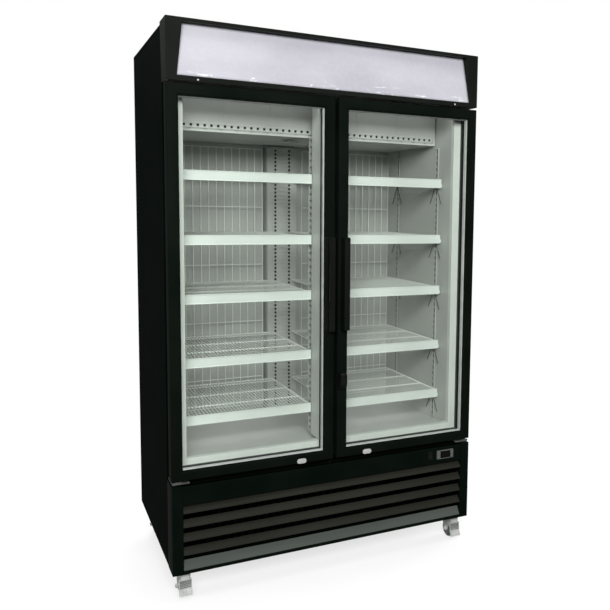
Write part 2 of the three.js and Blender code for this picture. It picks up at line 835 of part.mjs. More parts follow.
// Removable formed front panel of the machine compartment, with returns down both sides and
// across its top.
function grillePanel() {
  const face = block([-halfWidth, behind(0), caseBottom], [halfWidth, behind(grilleThickness), grilleTop]);
  const mouthTop = above(250);
  const mouth = block(
    [-louvreHalfWidth, behind(-1), above(11)],
    [louvreHalfWidth, behind(grilleThickness + 1), mouthTop],
  );
  const switchHole = block(
    [lightSwitch.x0 - gap, behind(-1), lightSwitch.centre - lightSwitch.half - gap],
    [lightSwitch.x1 + gap, behind(grilleThickness + 1), lightSwitch.centre + lightSwitch.half + gap],
  );
  const bodyInset = controllerInset - gap;
  const bodyHole = block(
    [controller.x0 + bodyInset, behind(-1), controller.z0 + bodyInset],
    [controller.x1 - bodyInset, behind(grilleThickness + 1), controller.z1 - bodyInset],
  );
  const returns = sides.map(({ sign }) =>
    block(
      [sign * halfWidth, behind(1), caseBottom],
      [sign * (halfWidth - formedSheet), behind(shellFront - gap), grilleTop],
    ),
  );
  const topReturn = block(
    [-halfWidth, behind(1), grilleTop - formedSheet],
    [halfWidth, behind(shellFront - gap), grilleTop],
  );
  const blades = louvreTops.map((top) => louvre(top, louvreDrop));
  const lastBlade = louvre(lastLouvreTop, lastLouvreDrop);
  const stileBacks = sides.map(({ sign }) =>
    block(
      [sign * (louvreHalfWidth + formedSheet), behind(formedSheet), caseBottom + formedSheet],
      [sign * (halfWidth - formedSheet), behind(grilleThickness + 1), grilleTop - formedSheet],
    ),
  );
  const bandBack = block(
    [-halfWidth + formedSheet, behind(formedSheet), mouthTop + formedSheet],
    [halfWidth - formedSheet, behind(grilleThickness + 1), grilleTop - formedSheet],
  );
  const shell = cut(face, mouth, switchHole, bodyHole, ...stileBacks, bandBack);
  return join(shell, ...returns, topReturn, ...blades, lastBlade);
}

const buttonWidth = 12;
const buttonInset = 2;
const buttonDepth = 3;
const buttonMargin = 4; // keys below the top and above the bottom of the bezel
const pocketDepth = 4;
const buttonX = (sign) => {
  const end = sign < 0 ? controller.x0 : controller.x1;
  return [end - sign * buttonInset, end - sign * (buttonInset + buttonWidth)];
};

// Temperature controller: bezel in front of the grille, body through it, two key pockets.
function controllerBody() {
  const { x0, x1, z0, z1, proud, back } = controller;
  const bezel = block([x0, behind(-proud), z0], [x1, behind(-gap), z1]);
  const inset = controllerInset;
  const body = block([x0 + inset, behind(-1), z0 + inset], [x1 - inset, behind(back), z1 - inset]);
  const pockets = sides.map(({ sign }) => {
    const [xa, xb] = buttonX(sign);
    return block(
      [xa + sign * gap, behind(-proud - 1), z0 + buttonMargin - gap],
      [xb - sign * gap, behind(-proud + pocketDepth), z1 - buttonMargin + gap],
    );
  });
  return cut(join(bezel, body), ...pockets);
}

function controllerButton(sign) {
  const [xa, xb] = buttonX(sign);
  const face = -controller.proud - 1;
  return block(
    [xa, behind(face), controller.z0 + buttonMargin],
    [xb, behind(face + buttonDepth), controller.z1 - buttonMargin],
  );
}

// Rocker about an X axis through its middle; the origin is on that axis.
function switchRocker() {
  const outline = [
    [-7, -17],
    [-3, 0],
    [-4, 17],
    [2, 17],
    [7, 9],
    [7, -9],
    [0, -17],
  ];
  return alongX(outline, lightSwitch.x0 + 0.5, lightSwitch.x1 - 0.5);
}

const rockerDepth = 5;

function addControls() {
  addPiece(merchandiser, "grille_panel", grillePanel(), blackSteel);
  addPiece(merchandiser, "controller_body", controllerBody(), blackPlastic);
  for (const { name, sign } of sides) {
    addPiece(merchandiser, `controller_${name}_button`, controllerButton(sign), greyPlastic);
  }
  const rocker = addPiece(merchandiser, "light_switch", switchRocker(), blackPlastic);
  rocker.position.set(0, behind(rockerDepth), lightSwitch.centre);
}

// ---------------------------------------------------------------- doors

const doorWidth = (width - meetingGap) / 2;
const doorThickness = 48;
const outerStile = 39;
const innerStile = 41;
const topRail = 41;
const bottomRail = 37;
const paneBite = 9; // how far the glass runs into the frame's groove
const paneFront = 8;
const paneThickness = 24; // both panes and the air space between them
const glassThickness = 4;
const spacerWidth = 12;
const gasketInset = 12;
const gasketWidth = 22;
const gasketThickness = 19;
const pinLength = 14;
const lockX = 475; // lock from the hinge edge
const lockZ = 9.5; // lock above the door's bottom edge
const plugRadius = 6.5;
const camDepth = 30;
const camReach = 16;
const camThickness = 4;
const handleBottom = 504;
const handleHeight = 351;

// Everything on a door is described from its outer, bottom, front corner. The distance from
// the hinge edge towards the meeting edge is turned into x by the door's inward direction.
// The frame is a hollow section with a slot down its back that the gasket pushes into.
function doorFrame(inward) {
  const at = (x, y, z) => [inward * x, y, z];
  const slab = block(at(0, 0, 0), at(doorWidth, doorThickness, doorHeight));
  const window = block(
    at(outerStile, -1, bottomRail),
    at(doorWidth - innerStile, doorThickness + 1, doorHeight - topRail),
  );
  const bite = paneBite + gap;
  const groove = block(
    at(outerStile - bite, paneFront - gap, bottomRail - bite),
    at(doorWidth - innerStile + bite, paneFront + paneThickness + gap, doorHeight - topRail + bite),
  );
  const wall = formedSheet;
  const channel = (margin, y0, y1) =>
    cut(
      block(at(margin, y0, margin), at(doorWidth - margin, y1, doorHeight - margin)),
      block(
        at(outerStile - bite - wall, y0 - 1, bottomRail - bite - wall),
        at(doorWidth - innerStile + bite + wall, y1 + 1, doorHeight - topRail + bite + wall),
      ),
    );
  const tube = channel(wall, wall, doorThickness - wall);
  const gasketSlot = channel(gasketInset + 1, doorThickness - wall - 1, doorThickness + 1);
  const plate = alongY(oval(inward * lockX, lockZ, 37, 18.6), -2.5, 1);
  const plugBore = rod("y", at(lockX, -4, lockZ), plugRadius + 0.5, camDepth + 5);
  const camPocket = block(
    at(lockX - 20, camDepth - 1, -1),
    at(lockX + 20, camDepth + camThickness + 1, lockZ + 9),
  );
  const topPin = rod("z", at(hingeInset, hingeDepth, doorHeight - 1), hingeRadius, headGap + 10, 12);
  const bottomPin = rod("z", at(hingeInset, hingeDepth, -pinLength), hingeRadius, pinLength + 1, 12);
  const hollows = [window, groove, tube, gasketSlot, plugBore, camPocket];
  return join(cut(join(slab, plate), ...hollows), topPin, bottomPin);
}

// Double-glazed unit: two panes and a spacer, with the spacer's filling hole at the bottom.
function doorGlass(inward) {
  const inset = (margin, y0, y1) =>
    block(
      [inward * (outerStile - paneBite + margin), y0, bottomRail - paneBite + margin],
      [inward * (doorWidth - innerStile + paneBite - margin), y1, doorHeight - topRail + paneBite - margin],
    );
  const slab = inset(0, paneFront, paneFront + paneThickness);
  const innerFace = paneFront + paneThickness - glassThickness;
  const airSpace = inset(spacerWidth, paneFront + glassThickness, innerFace);
  const fillingHole = rod(
    "z",
    [(inward * doorWidth) / 2, paneFront + paneThickness / 2, bottomRail - paneBite - 1],
    2,
    spacerWidth + 2,
    8,
  );
  return cut(slab, airSpace, fillingHole);
}

// Magnetic seal round the back of the door.
function doorGasket(inward) {
  const front = doorThickness + gap;
  const back = front + gasketThickness;
  const inset = (margin, y0, y1) =>
    block([inward * margin, y0, margin], [inward * (doorWidth - margin), y1, doorHeight - margin]);
  return cut(inset(gasketInset, front, back), inset(gasketInset + gasketWidth, front - 1, back + 1));
}

// Pull bar with an open channel for the fingers on the glass side.
function doorHandle(inward) {
  const outer = doorWidth - 41;
  const meeting = doorWidth - 12;
  const base = 6;
  const lip = 8;
  const outline = [
    [outer, -gap],
    [meeting, -gap],
    [meeting, -handleReach + 2],
    [meeting - 2, -handleReach],
    [meeting - 20, -handleReach],
    [meeting - 22, -handleReach + 2],
    [meeting - 22, -handleReach + lip],
    [meeting - 9, -handleReach + lip],
    [meeting - 9, -base],
    [outer, -base],
  ].map(([x, y]) => [inward * x, y]);
  return alongZ(outline, handleBottom, handleBottom + handleHeight);
}

// Key plug about a Y axis with the cam that swings below the door; the origin is on that axis.
function lockCam() {
  const plug = rod("y", [0, -4, 0], plugRadius, camDepth + 5);
  const keyway = block([-1, -6, -4], [1, -2, 4]);
  const cam = block([-5, camDepth, -camReach], [5, camDepth + camThickness, 5]);
  return join(cut(plug, keyway), cam);
}

// Moulded block on the meeting stile of the right-hand door.
function haspBlock() {
  const z0 = 278;
  const z1 = 339;
  const reach = 36;
  const side = [
    [-gap, z0],
    [-gap, z1],
    [-reach + 8, z1],
    [-reach, z1 - 10],
    [-reach, z0 + 16],
    [-reach + 12, z0],
  ];
  return alongX(side, -doorWidth + 1, -doorWidth + 27);
}

// Bracket in the gap under a door that carries the bottom pin.
function hingeBracket(inward) {
  const at = (x, y, z) => [inward * x, y, z];
  const top = -8;
  const thickness = 5;
  const plate = block(at(3, 6, top - thickness), at(62, 86, top));
  const nose = block(at(3, 6, top - thickness), at(34, 12, top + 3));
  const bore = rod("z", at(hingeInset, hingeDepth, -20), hingeRadius + hingeClearance, 15);
  return cut(join(plate, nose), bore);
}

function addDoor({ name, sign }) {
  const inward = -sign;
  const door = addGroup(merchandiser, sign * halfWidth, frontY, doorBottom);
  addPiece(door, `${name}_door_frame`, doorFrame(inward), blackSteel);
  addPiece(door, `${name}_door_glass`, doorGlass(inward), glassFinish);
  addPiece(door, `${name}_door_gasket`, doorGasket(inward), rubber);
  addPiece(door, `${name}_door_handle`, doorHandle(inward), blackPlastic);
  const lock = addPiece(door, `${name}_door_lock`, lockCam(), chrome);
  lock.position.set(inward * lockX, 0, lockZ);
  addPiece(door, `${name}_hinge_bracket`, hingeBracket(inward), zinc);
  if (sign > 0) addPiece(door, "hasp_block", haspBlock(), blackPlastic);
}

// ---------------------------------------------------------------- casters

const wheelRadius = 36;
const wheelWidth = 26;
const wheelSides = 24;
const axleRadius = 5;
const trail = 18; // axle ahead of the swivel axis
const forkTop = 101;
const forkPlateThickness = 3;
const forkInner = 16; // inside face of each fork leg
const pedalPivot = { y: -52, z: 84 };
const pedalPinRadius = 3;

// Swivel fork with its kingpin, legs and axle. The origin is on the floor under the kingpin.
function casterFork(braked) {
  const crown = rod("z", [0, 0, forkTop - 5], 27, 5, 20);
  const bridge = block([-forkInner - 3, -26, forkTop - 8], [forkInner + 3, 20, forkTop - 4]);
  const kingpin = rod("z", [0, 0, forkTop - 1], kingpinRadius, 11, 12);
  const nose = braked ? pedalPivot.y - 6 : -40;
  const legOutline = [
    [20, forkTop - 4],
    [-26, forkTop - 4],
    [nose, pedalPivot.z + 7],
    [nose, pedalPivot.z - 6],
    [-trail - 11, wheelRadius - 6],
    [-trail - 5, wheelRadius - 11],
    [-trail + 5, wheelRadius - 11],
    [-trail + 11, wheelRadius - 6],
  ];
  const legs = sides.map(({ sign }) => {
    const edges = [sign * forkInner, sign * (forkInner + forkPlateThickness)];
    return alongX(legOutline, Math.min(...edges), Math.max(...edges));
  });
  const axleHalf = forkInner + forkPlateThickness + 9;
  const axle = rod("x", [-axleHalf, -trail, wheelRadius], axleRadius, 2 * axleHalf, 12);
  const nuts = sides.map(({ sign }) =>
    rod("x", [sign > 0 ? forkInner + 2 : -forkInner - 9, -trail, wheelRadius], 9, 7, 6),
  );
  const pinHalf = forkInner + 1;
  const pedalPin = rod("x", [-pinHalf, pedalPivot.y, pedalPivot.z], pedalPinRadius, 2 * pinHalf, 10);
  const solid = [crown, bridge, kingpin, ...legs, axle, ...nuts];
  if (braked) solid.push(pedalPin);
  return join(...solid);
}

// Tread and hub in one, bored for the axle; the origin is at its centre and its axis is X.
function casterWheel() {
  const corner = wheelRadius / Math.cos(Math.PI / wheelSides);
  const half = wheelWidth / 2;
  const profile = [
    [0, -half],
    [corner - 4, -half],
    [corner, -half + 4],
    [corner, half - 4],
    [corner - 4, half],
    [0, half],
  ];
  // Half a facet of turn sets a flat of the tread square on the floor.
  const tread = turned(profile, wheelSides).rotateZ(Math.PI / wheelSides).rotateY(Math.PI / 2);
  return cut(tread, rod("x", [-half - 1, 0, 0], axleRadius + 0.5, wheelWidth + 2, 12));
}

// Foot pedal in front of the wheel, about its pin's X axis; the origin is on that axis.
function brakePedal() {
  const half = forkInner - 1;
  const wing = forkInner + forkPlateThickness + 4;
  const skin = 3;
  const outline = [
    [-5, 5],
    [5, 5],
    [5, -5],
    [-5, -8],
    [-9, -46],
    [-20, -66],
    [-20 - skin, -65],
    [-12, -44],
    [-8, -6],
  ];
  const arm = alongX(outline, -half, half);
  const plate = alongX(
    [
      [-8, -9],
      [-5 - skin / 2, -9],
      [-9, -46],
      [-20, -66],
      [-20 - skin, -65],
      [-12, -44],
    ],
    -wing,
    wing,
  );
  const bore = rod("x", [-wing - 1, 0, 0], pedalPinRadius + 0.5, 2 * wing + 2, 10);
  return cut(join(arm, plate), bore);
}

function addCaster({ name, x, y, braked }) {
  const caster = addGroup(merchandiser, x, y, 0);
  addPiece(caster, `${name}_caster_fork`, casterFork(braked), zinc);
  const wheel = addPiece(caster, `${name}_caster_wheel`, casterWheel(), greyPlastic);
  wheel.position.set(0, -trail, wheelRadius);
  if (braked) {
    const pedal = addPiece(caster, `${name}_brake_pedal`, brakePedal(), zinc);
    pedal.position.set(0, pedalPivot.y, pedalPivot.z);
  }
}

// ---------------------------------------------------------------- assembly

addOuterCase();
addInterior();
addCoolingUnit();
addCanopy();
addControls();
sides.forEach(addDoor);
casterPlaces.forEach(addCaster);

export default merchandiser;
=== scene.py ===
"""Looks of the glass door merchandiser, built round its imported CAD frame.

Lengths are in metres. X is right, Y is back, Z is up and the floor is at 0.
"""

import json
import math

import bmesh
import bpy
from mathutils import Matrix, Vector, noise


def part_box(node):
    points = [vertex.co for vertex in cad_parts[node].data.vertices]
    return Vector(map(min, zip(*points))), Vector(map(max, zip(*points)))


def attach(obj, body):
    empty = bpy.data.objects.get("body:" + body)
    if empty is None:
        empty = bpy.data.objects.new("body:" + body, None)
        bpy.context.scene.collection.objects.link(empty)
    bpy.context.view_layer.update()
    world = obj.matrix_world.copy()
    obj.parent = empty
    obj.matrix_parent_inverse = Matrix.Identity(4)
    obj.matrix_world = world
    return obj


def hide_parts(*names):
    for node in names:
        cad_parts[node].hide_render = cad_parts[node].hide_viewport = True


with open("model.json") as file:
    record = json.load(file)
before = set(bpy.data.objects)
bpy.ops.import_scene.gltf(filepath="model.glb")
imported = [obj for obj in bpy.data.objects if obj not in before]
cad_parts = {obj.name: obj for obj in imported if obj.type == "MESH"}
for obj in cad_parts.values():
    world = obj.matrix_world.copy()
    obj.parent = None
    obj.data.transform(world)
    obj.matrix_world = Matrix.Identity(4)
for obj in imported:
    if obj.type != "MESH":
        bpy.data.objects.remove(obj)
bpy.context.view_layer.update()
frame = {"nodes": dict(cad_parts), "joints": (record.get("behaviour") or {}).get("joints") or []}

MM = 0.001


class Box:
    """Extents of a CAD node."""

    def __init__(self, node):
        low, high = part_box(node)
        self.x0, self.y0, self.z0 = low
        self.x1, self.y1, self.z1 = high

    @property
    def edges(self):
        """Left, right, bottom and top edges as seen from the front."""
        return self.x0, self.x1, self.z0, self.z1

    @property
    def centre(self):
        return Vector((self.x0 + self.x1, self.y0 + self.y1, self.z0 + self.z1)) / 2


def joint_place(name):
    """A point on a joint's axis."""
    return next(joint["pos_m"] for joint in frame["joints"] if joint["name"] == name)


canopy = Box("canopy_housing")
sign_box = Box("sign_panel")
grille = Box("grille_panel")
liner = Box("inner_liner")
surround = Box("front_frame")
pilaster = Box("rear_pilaster")
cover = Box("evaporator_cover")

FRONT = canopy.y0  # plane of the doors, the canopy and the grille
HALF_WIDTH = canopy.x1
SIDES = {"left": -1, "right": 1}


# ---- mesh building


def rounded(outline, radius, steps=3):
    """The closed outline with a fillet at every corner."""
    result = []
    count = len(outline)
    for i in range(count):
        corner = Vector(outline[i])
        ends = []
        for neighbour in (outline[i - 1], outline[(i + 1) % count]):
            edge = Vector(neighbour) - corner
            ends.append(corner + edge * min(0.45, radius / edge.length))
        for step in range(steps + 1):
            t = step / steps
            result.append((1 - t) ** 2 * ends[0] + 2 * t * (1 - t) * corner + t**2 * ends[1])
    return result


def in_metres(points):
    """Points given in millimetres."""
    return [(u * MM, v * MM) for u, v in points]


def rectangle(u0, u1, v0, v1):
    return [(u0, v0), (u1, v0), (u1, v1), (u0, v1)]


def drawn_in(edges, side, end):
    """Edges of a rectangle that is smaller by side at the left and right and by end in height."""
    return edges[0] + side, edges[1] - side, edges[2] + end, edges[3] - end


def add_loft(mesh, rings, closed=False):
    """Skin rings of equally many points. Open lofts get a cap at each end."""
    rows = [[mesh.verts.new(point) for point in ring] for ring in rings]
    pairs = list(zip(rows, rows[1:]))
    if closed:
        pairs.append((rows[-1], rows[0]))
    for near, far in pairs:
        for i in range(len(near)):
            j = (i + 1) % len(near)
            mesh.faces.new((near[i], near[j], far[j], far[i]))
    if not closed:
        mesh.faces.new(rows[0])
        mesh.faces.new(rows[-1])


def add_prism(mesh, axis, outline, start, end):
    """Extrude a 2-D outline along an axis; the outline's axes are the other two, in order."""
    place = {
        "x": lambda u, v, w: (w, u, v),
        "y": lambda u, v, w: (u, w, v),
        "z": lambda u, v, w: (u, v, w),
    }[axis]
    add_loft(mesh, [[place(u, v, w) for u, v in outline] for w in (start, end)])


def add_box(mesh, low, high):
    add_prism(mesh, "z", rectangle(low[0], high[0], low[1], high[1]), low[2], high[2])


def add_tube(mesh, path, radius, sides=8):
    """Sweep a circle along a path."""
    points = [Vector(point) for point in path]
    tangents = []
    for i in range(len(points)):
        before, after = points[max(i - 1, 0)], points[min(i + 1, len(points) - 1)]
        tangents.append((after - before).normalized())
    helper = Vector((0, 0, 1)) if abs(tangents[0].z) < 0.9 else Vector((1, 0, 0))
    across = tangents[0].cross(helper).normalized()
    rings = []
    for point, tangent in zip(points, tangents):
        across = (across - tangent * across.dot(tangent)).normalized()
        up = tangent.cross(across)
        angles = [2 * math.pi * i / sides for i in range(sides)]
        rings.append([point + radius * (across * math.cos(a) + up * math.sin(a)) for a in angles])
    add_loft(mesh, rings)


def weld(mesh):
    bmesh.ops.remove_doubles(mesh, verts=mesh.verts, dist=1e-6)


def add_turned(mesh, centre, axis, profile, segments=24):
    """Turn a closed profile of (radius, distance along the axis) about an axis through centre."""
    place = {
        "x": lambda r, w, a: (w, r * math.cos(a), r * math.sin(a)),
        "y": lambda r, w, a: (r * math.cos(a), w, r * math.sin(a)),
        "z": lambda r, w, a: (r * math.cos(a), r * math.sin(a), w),
    }[axis]
    rings = []
    for segment in range(segments):
        angle = 2 * math.pi * segment / segments
        rings.append([Vector(centre) + Vector(place(r, w, angle)) for r, w in profile])
    add_loft(mesh, rings, closed=True)
    weld(mesh)


def add_mitred_ring(mesh, outer, outer_profile, inner=None, inner_profile=()):
    """Sweep a closed profile round an upright rectangular frame.

    A profile point is (offset, y), where offset goes inwards from the frame's outer edges or,
    in the inner profile, from its inner edges.
    """
    corners = [(0, 2, 1, 1), (1, 2, -1, 1), (1, 3, -1, -1), (0, 3, 1, -1)]
    rings = []
    for x_index, z_index, x_sign, z_sign in corners:
        ring = []
        for edges, profile in ((outer, outer_profile), (inner, inner_profile)):
            for offset, y in profile:
                x = edges[x_index] + x_sign * offset
                ring.append((x, y, edges[z_index] + z_sign * offset))
        rings.append(ring)
    add_loft(mesh, rings, closed=True)


def add_sheet(mesh, place, u_cuts, v_cuts, slotted=()):
    """Grid of faces over the cuts in u and v. Slotted columns miss every second face."""
    grid = {}

    def vertex(i, j):
        if (i, j) not in grid:
            grid[i, j] = mesh.verts.new(place(u_cuts[i], v_cuts[j]))
        return grid[i, j]

    for i in range(len(u_cuts) - 1):
        for j in range(len(v_cuts) - 1):
            if i not in slotted or j % 2 == 0:
                loop = [(i, j), (i + 1, j), (i + 1, j + 1), (i, j + 1)]
                mesh.faces.new([vertex(*corner) for corner in loop])


def slot_cuts(start, end, pitch, length):
    """Cuts that leave a slot of this length in every pitch between start and end."""
    count = int((end - start) / pitch)
    first = start + (end - start - count * pitch + pitch - length) / 2
    cuts = [start]
    for i in range(count):
        cuts += [first + i * pitch, first + i * pitch + length]
    return cuts + [end]


# ---- pieces

SHARP_ANGLE = math.radians(35)  # edges that turn more than this stay sharp or get a bevel


def finish_mesh(mesh, name, material):
    bmesh.ops.recalc_face_normals(mesh, faces=mesh.faces)
    data = bpy.data.meshes.new(name)
    mesh.to_mesh(data)
    mesh.free()
    data.materials.append(material)
    data.shade_smooth()
    data.set_sharp_from_angle(angle=SHARP_ANGLE)
    return data


def add_bevel(piece, width, segments=2):
    bevel = piece.modifiers.new("edges", "BEVEL")
    bevel.width = width
    bevel.segments = segments
    bevel.limit_method = "ANGLE"
    bevel.angle_limit = SHARP_ANGLE
    bevel.harden_normals = True


def add_piece(name, mesh, material, body="cabinet", stands_for=(), bevel=0.0, sheet=0.0):
    """Turn a finished mesh into a piece that rides on a body.

    stands_for: the CAD nodes it replaces; sheet: thickness given to an open surface
    """
    data = mesh if isinstance(mesh, bpy.types.Mesh) else finish_mesh(mesh, name, material)
    piece = bpy.data.objects.new(name, data)
    bpy.context.scene.collection.objects.link(piece)
    if sheet:
        solid = piece.modifiers.new("thickness", "SOLIDIFY")
        solid.thickness = sheet
        solid.offset = 0
    if bevel:
        add_bevel(piece, bevel)
    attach(piece, body)
    if stands_for:
        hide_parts(*stands_for)
    return piece


def dress_node(name, material, bevel=0.0):
    """Show a CAD node as it is, with a material and softened edges."""
    node = frame["nodes"][name]
    node.data.materials.clear()
    node.data.materials.append(material)
    seams = node.modifiers.new("weld", "WELD")
    seams.merge_threshold = 1e-5
    flat = node.modifiers.new("flat faces", "DECIMATE")
    flat.decimate_type = "DISSOLVE"
    flat.angle_limit = math.radians(1)
    if bevel:
        add_bevel(node, bevel)


def carve(piece, cutters):
    """Cut boxes out of a piece for good. Each cutter is a (low corner, high corner) pair."""
    mesh = bmesh.new()
    for low, high in cutters:
        add_box(mesh, low, high)
    bmesh.ops.recalc_face_normals(mesh, faces=mesh.faces)
    data = bpy.data.meshes.new("cutter")
    mesh.to_mesh(data)
    mesh.free()
    cutter = bpy.data.objects.new("cutter", data)
    bpy.context.scene.collection.objects.link(cutter)
    boolean = piece.modifiers.new("carve", "BOOLEAN")
    boolean.object = cutter
    boolean.operation = "DIFFERENCE"
    piece.modifiers.move(len(piece.modifiers) - 1, 0)
    with bpy.context.temp_override(object=piece):
        bpy.ops.object.modifier_apply(modifier=boolean.name)
    bpy.data.objects.remove(cutter)


# ---- materials


def feed(node, inputs):
    """Give a node's inputs values, or link them to the outputs of other nodes."""
    for name, value in inputs.items():
        if isinstance(value, bpy.types.NodeSocket):
            node.id_data.links.new(value, node.inputs[name])
        else:
            node.inputs[name].default_value = value


def add_node(tree, kind, inputs, **settings):
    node = tree.nodes.new(f"ShaderNode{kind}")
    for name, value in settings.items():
        setattr(node, name, value)
    feed(node, inputs)
    return node


class Shader:
    """A material's node tree with short ways to add the nodes used here."""

    def __init__(self, name, slot):
        self.material = bpy.data.materials.new(name)
        self.material["slot"] = slot
        self.material.use_nodes = True
        self.tree = self.material.node_tree
        self.principled = self.tree.nodes["Principled BSDF"]
        self.place = self.add("TexCoord", {}).outputs["Object"]

    def add(self, kind, inputs, **settings):
        return add_node(self.tree, kind, inputs, **settings)

    def noise(self, scale, stretch=(1, 1, 1), detail=3):
        """Noise of this many waves per metre, stretched along the axes."""
        mapping = self.add("Mapping", {"Vector": self.place, "Scale": stretch})
        inputs = {"Vector": mapping.outputs["Vector"], "Scale": scale, "Detail": detail}
        return self.add("TexNoise", inputs).outputs["Fac"]

    def spread(self, source, low, high):
        """The middle of a noise's range stretched from low to high."""
        middle = {"From Min": 0.35, "From Max": 0.65}
        inputs = {"Value": source, "To Min": low, "To Max": high}
        return self.add("MapRange", middle | inputs).outputs["Result"]

    def blend_colours(self, source, first, second):
        """Drift from the first colour to the second over the middle of a noise's range."""
        node = self.add("ValToRGB", {"Fac": source})
        start, end = node.color_ramp.elements
        start.position, end.position = 0.35, 0.65
        start.color = (*first, 1)
        end.color = (*second, 1)
        return node.outputs["Color"]

    def mix_colours(self, share, first, second):
        inputs = {"Factor": share, "A": first, "B": second}
        return self.add("Mix", inputs, data_type="RGBA").outputs["Result"]

    def bump(self, source, height):
        node = self.add("Bump", {"Height": source, "Distance": height})
        feed(self.principled, {"Normal": node.outputs["Normal"]})


def surface(
    name, slot, first, second, roughness,
    metallic=0.0, specular=0.5, patch=6, stretch=(1, 1, 1), height=0.0001,
):
    """Finish whose colour and gloss drift in patches and whose surface has a fine grain."""
    shader = Shader(name, slot)
    patches = shader.noise(patch, stretch)
    fine = shader.noise(400, stretch)
    inputs = {
        "Metallic": metallic,
        "Specular IOR Level": specular,
        "Base Color": shader.blend_colours(patches, first, second),
        "Roughness": shader.spread(fine, *roughness),
    }
    feed(shader.principled, inputs)
    shader.bump(fine, height)
    return shader.material


def clear_glass(name, slot, tint, reflection):
    """Thin clear sheet: tinted transparency with reflections that grow at a grazing view."""
    shader = Shader(name, slot)
    smears = shader.noise(5, (1, 1, 0.3))
    pale = tuple(channel * 0.985 for channel in tint)
    facing = shader.add("LayerWeight", {}).outputs["Facing"]
    steep = shader.add("Math", {0: facing, 1: 5}, operation="POWER").outputs["Value"]
    share = shader.add("MapRange", {"Value": steep, "To Min": reflection, "To Max": 0.7})
    clear = shader.add("BsdfTransparent", {"Color": shader.blend_colours(smears, tint, pale)})
    mirror = shader.add("BsdfGlossy", {"Roughness": shader.spread(smears, 0.02, 0.06)})
    inputs = {0: share.outputs["Result"], 1: clear.outputs["BSDF"], 2: mirror.outputs["BSDF"]}
    mix = shader.add("MixShader", inputs)
    feed(shader.tree.nodes["Material Output"], {"Surface": mix.outputs["Shader"]})
    return shader.material


def film_acrylic(name, slot, first, second):
    """Satin sheet under a loose protective film whose creases are bumped, with painted highlights
    along them in its lower part.
    """
    shader = Shader(name, slot)
    creases = shader.noise(7, (1.1, 1, 3.2), detail=8)
    place = shader.add("SeparateXYZ", {"Vector": shader.place})
    highlight_top = sign_box.z0 + 0.75 * (sign_box.z1 - sign_box.z0)
    heights = {"Value": place.outputs["Z"], "From Min": highlight_top, "From Max": sign_box.z0}
    low = shader.add("MapRange", heights).outputs["Result"]
    strength = shader.add("Math", {0: creases, 1: low}, operation="MULTIPLY").outputs["Value"]
    # Painted highlights: pale streaks along the crests of the crease noise, strongest at the bottom
    # edge and gone from the top quarter.
    crease_highlight = shader.add("ValToRGB", {"Fac": strength})
    start, end = crease_highlight.color_ramp.elements
    start.position, end.position = 0.455, 0.485
    start.color = end.color = (0, 0, 0, 1)
    crease_highlight.color_ramp.elements.new(0.47).color = (0.7, 0.7, 0.7, 1)
    breaks = shader.spread(shader.noise(24, (0.8, 1, 1.5)), -1.2, 1.2)
    inputs = {0: crease_highlight.outputs["Color"], 1: breaks}
    broken_highlight = shader.add("Math", inputs, operation="MULTIPLY").outputs["Value"]
    film = shader.blend_colours(shader.noise(3, (1, 1, 2)), first, second)
    # The base colour is mixed towards near-white where the painted highlights fall.
    inputs = {
        "Specular IOR Level": 0.15,
        "Base Color": shader.mix_colours(broken_highlight, film, (0.82, 0.82, 0.84, 1)),
        "Roughness": shader.spread(shader.noise(60), 0.16, 0.34),
    }
    feed(shader.principled, inputs)
    shader.bump(creases, 0.003)
    return shader.material


def surround_paint(name, slot, face, edge):
    """The door surround's finish: pale to the front, black on its outer edges like the case. The pale
    face is set lighter than the liner: partly its own colour, partly painted light on a face that
    stands in shade.
    """
    shader = Shader(name, slot)
    x = shader.add("SeparateXYZ", {"Vector": shader.place}).outputs["X"]
    across = shader.add("Math", {0: x}, operation="ABSOLUTE").outputs["Value"]
    inputs = {0: across, 1: surround.x1 - 1 * MM}
    outside = shader.add("Math", inputs, operation="GREATER_THAN").outputs["Value"]
    patches = shader.noise(6)
    pale = shader.blend_colours(patches, *face)
    dark = shader.blend_colours(patches, *edge)
    inputs = {
        "Base Color": shader.mix_colours(outside, pale, dark),
        "Roughness": shader.spread(shader.noise(400), 0.38, 0.5),
    }
    feed(shader.principled, inputs)
    return shader.material


side_black = surface(
    "side_black", "case_paint", (0.0006, 0.0024, 0.0014), (0.0012, 0.0032, 0.002), (0.5, 0.6),
    specular=0.012,
)
back_black = surface(
    "back_black", "case_paint", (0.009, 0.0105, 0.0095), (0.014, 0.0155, 0.0145), (0.4, 0.52),
    specular=0.3,
)
# Lit and shaded copies of the case paint: painted lighter on the canopy and darker on the grille face,
# for light falling from above.
front_black = surface(
    "front_black", "case_paint", (0.0062, 0.0074, 0.0061), (0.0084, 0.0096, 0.0082), (0.34, 0.42),
    specular=0.06,
)
grille_shaded_black = surface(
    "grille_shaded_black", "case_paint", (0.0016, 0.0034, 0.0021), (0.0026, 0.0045, 0.0031), (0.36, 0.44),
    specular=0.05,
)
# Lighter copies of the case paint for the louvres' up-facing slopes, lightest on the bottom louvre:
# painted light from above.
louvre_lit_black = surface(
    "louvre_lit_black", "case_paint", (0.0125, 0.0125, 0.0098), (0.0185, 0.0185, 0.0148), (0.36, 0.5),
    specular=0.12, stretch=(0.2, 1, 1),
)
bottom_louvre_lit_black = surface(
    "bottom_louvre_lit_black", "case_paint", (0.05, 0.058, 0.051), (0.064, 0.073, 0.065), (0.36, 0.5),
    specular=0.15, stretch=(0.2, 1, 1),
)
door_black = surface(
    "door_black", "door_paint", (0.0026, 0.0042, 0.0029), (0.0042, 0.0058, 0.0044), (0.3, 0.38),
    specular=0.03,
)
liner_white = surface(
    "liner_white", "liner_paint", (0.45, 0.46, 0.44), (0.49, 0.5, 0.48), (0.38, 0.5),
    height=0.00002,
)
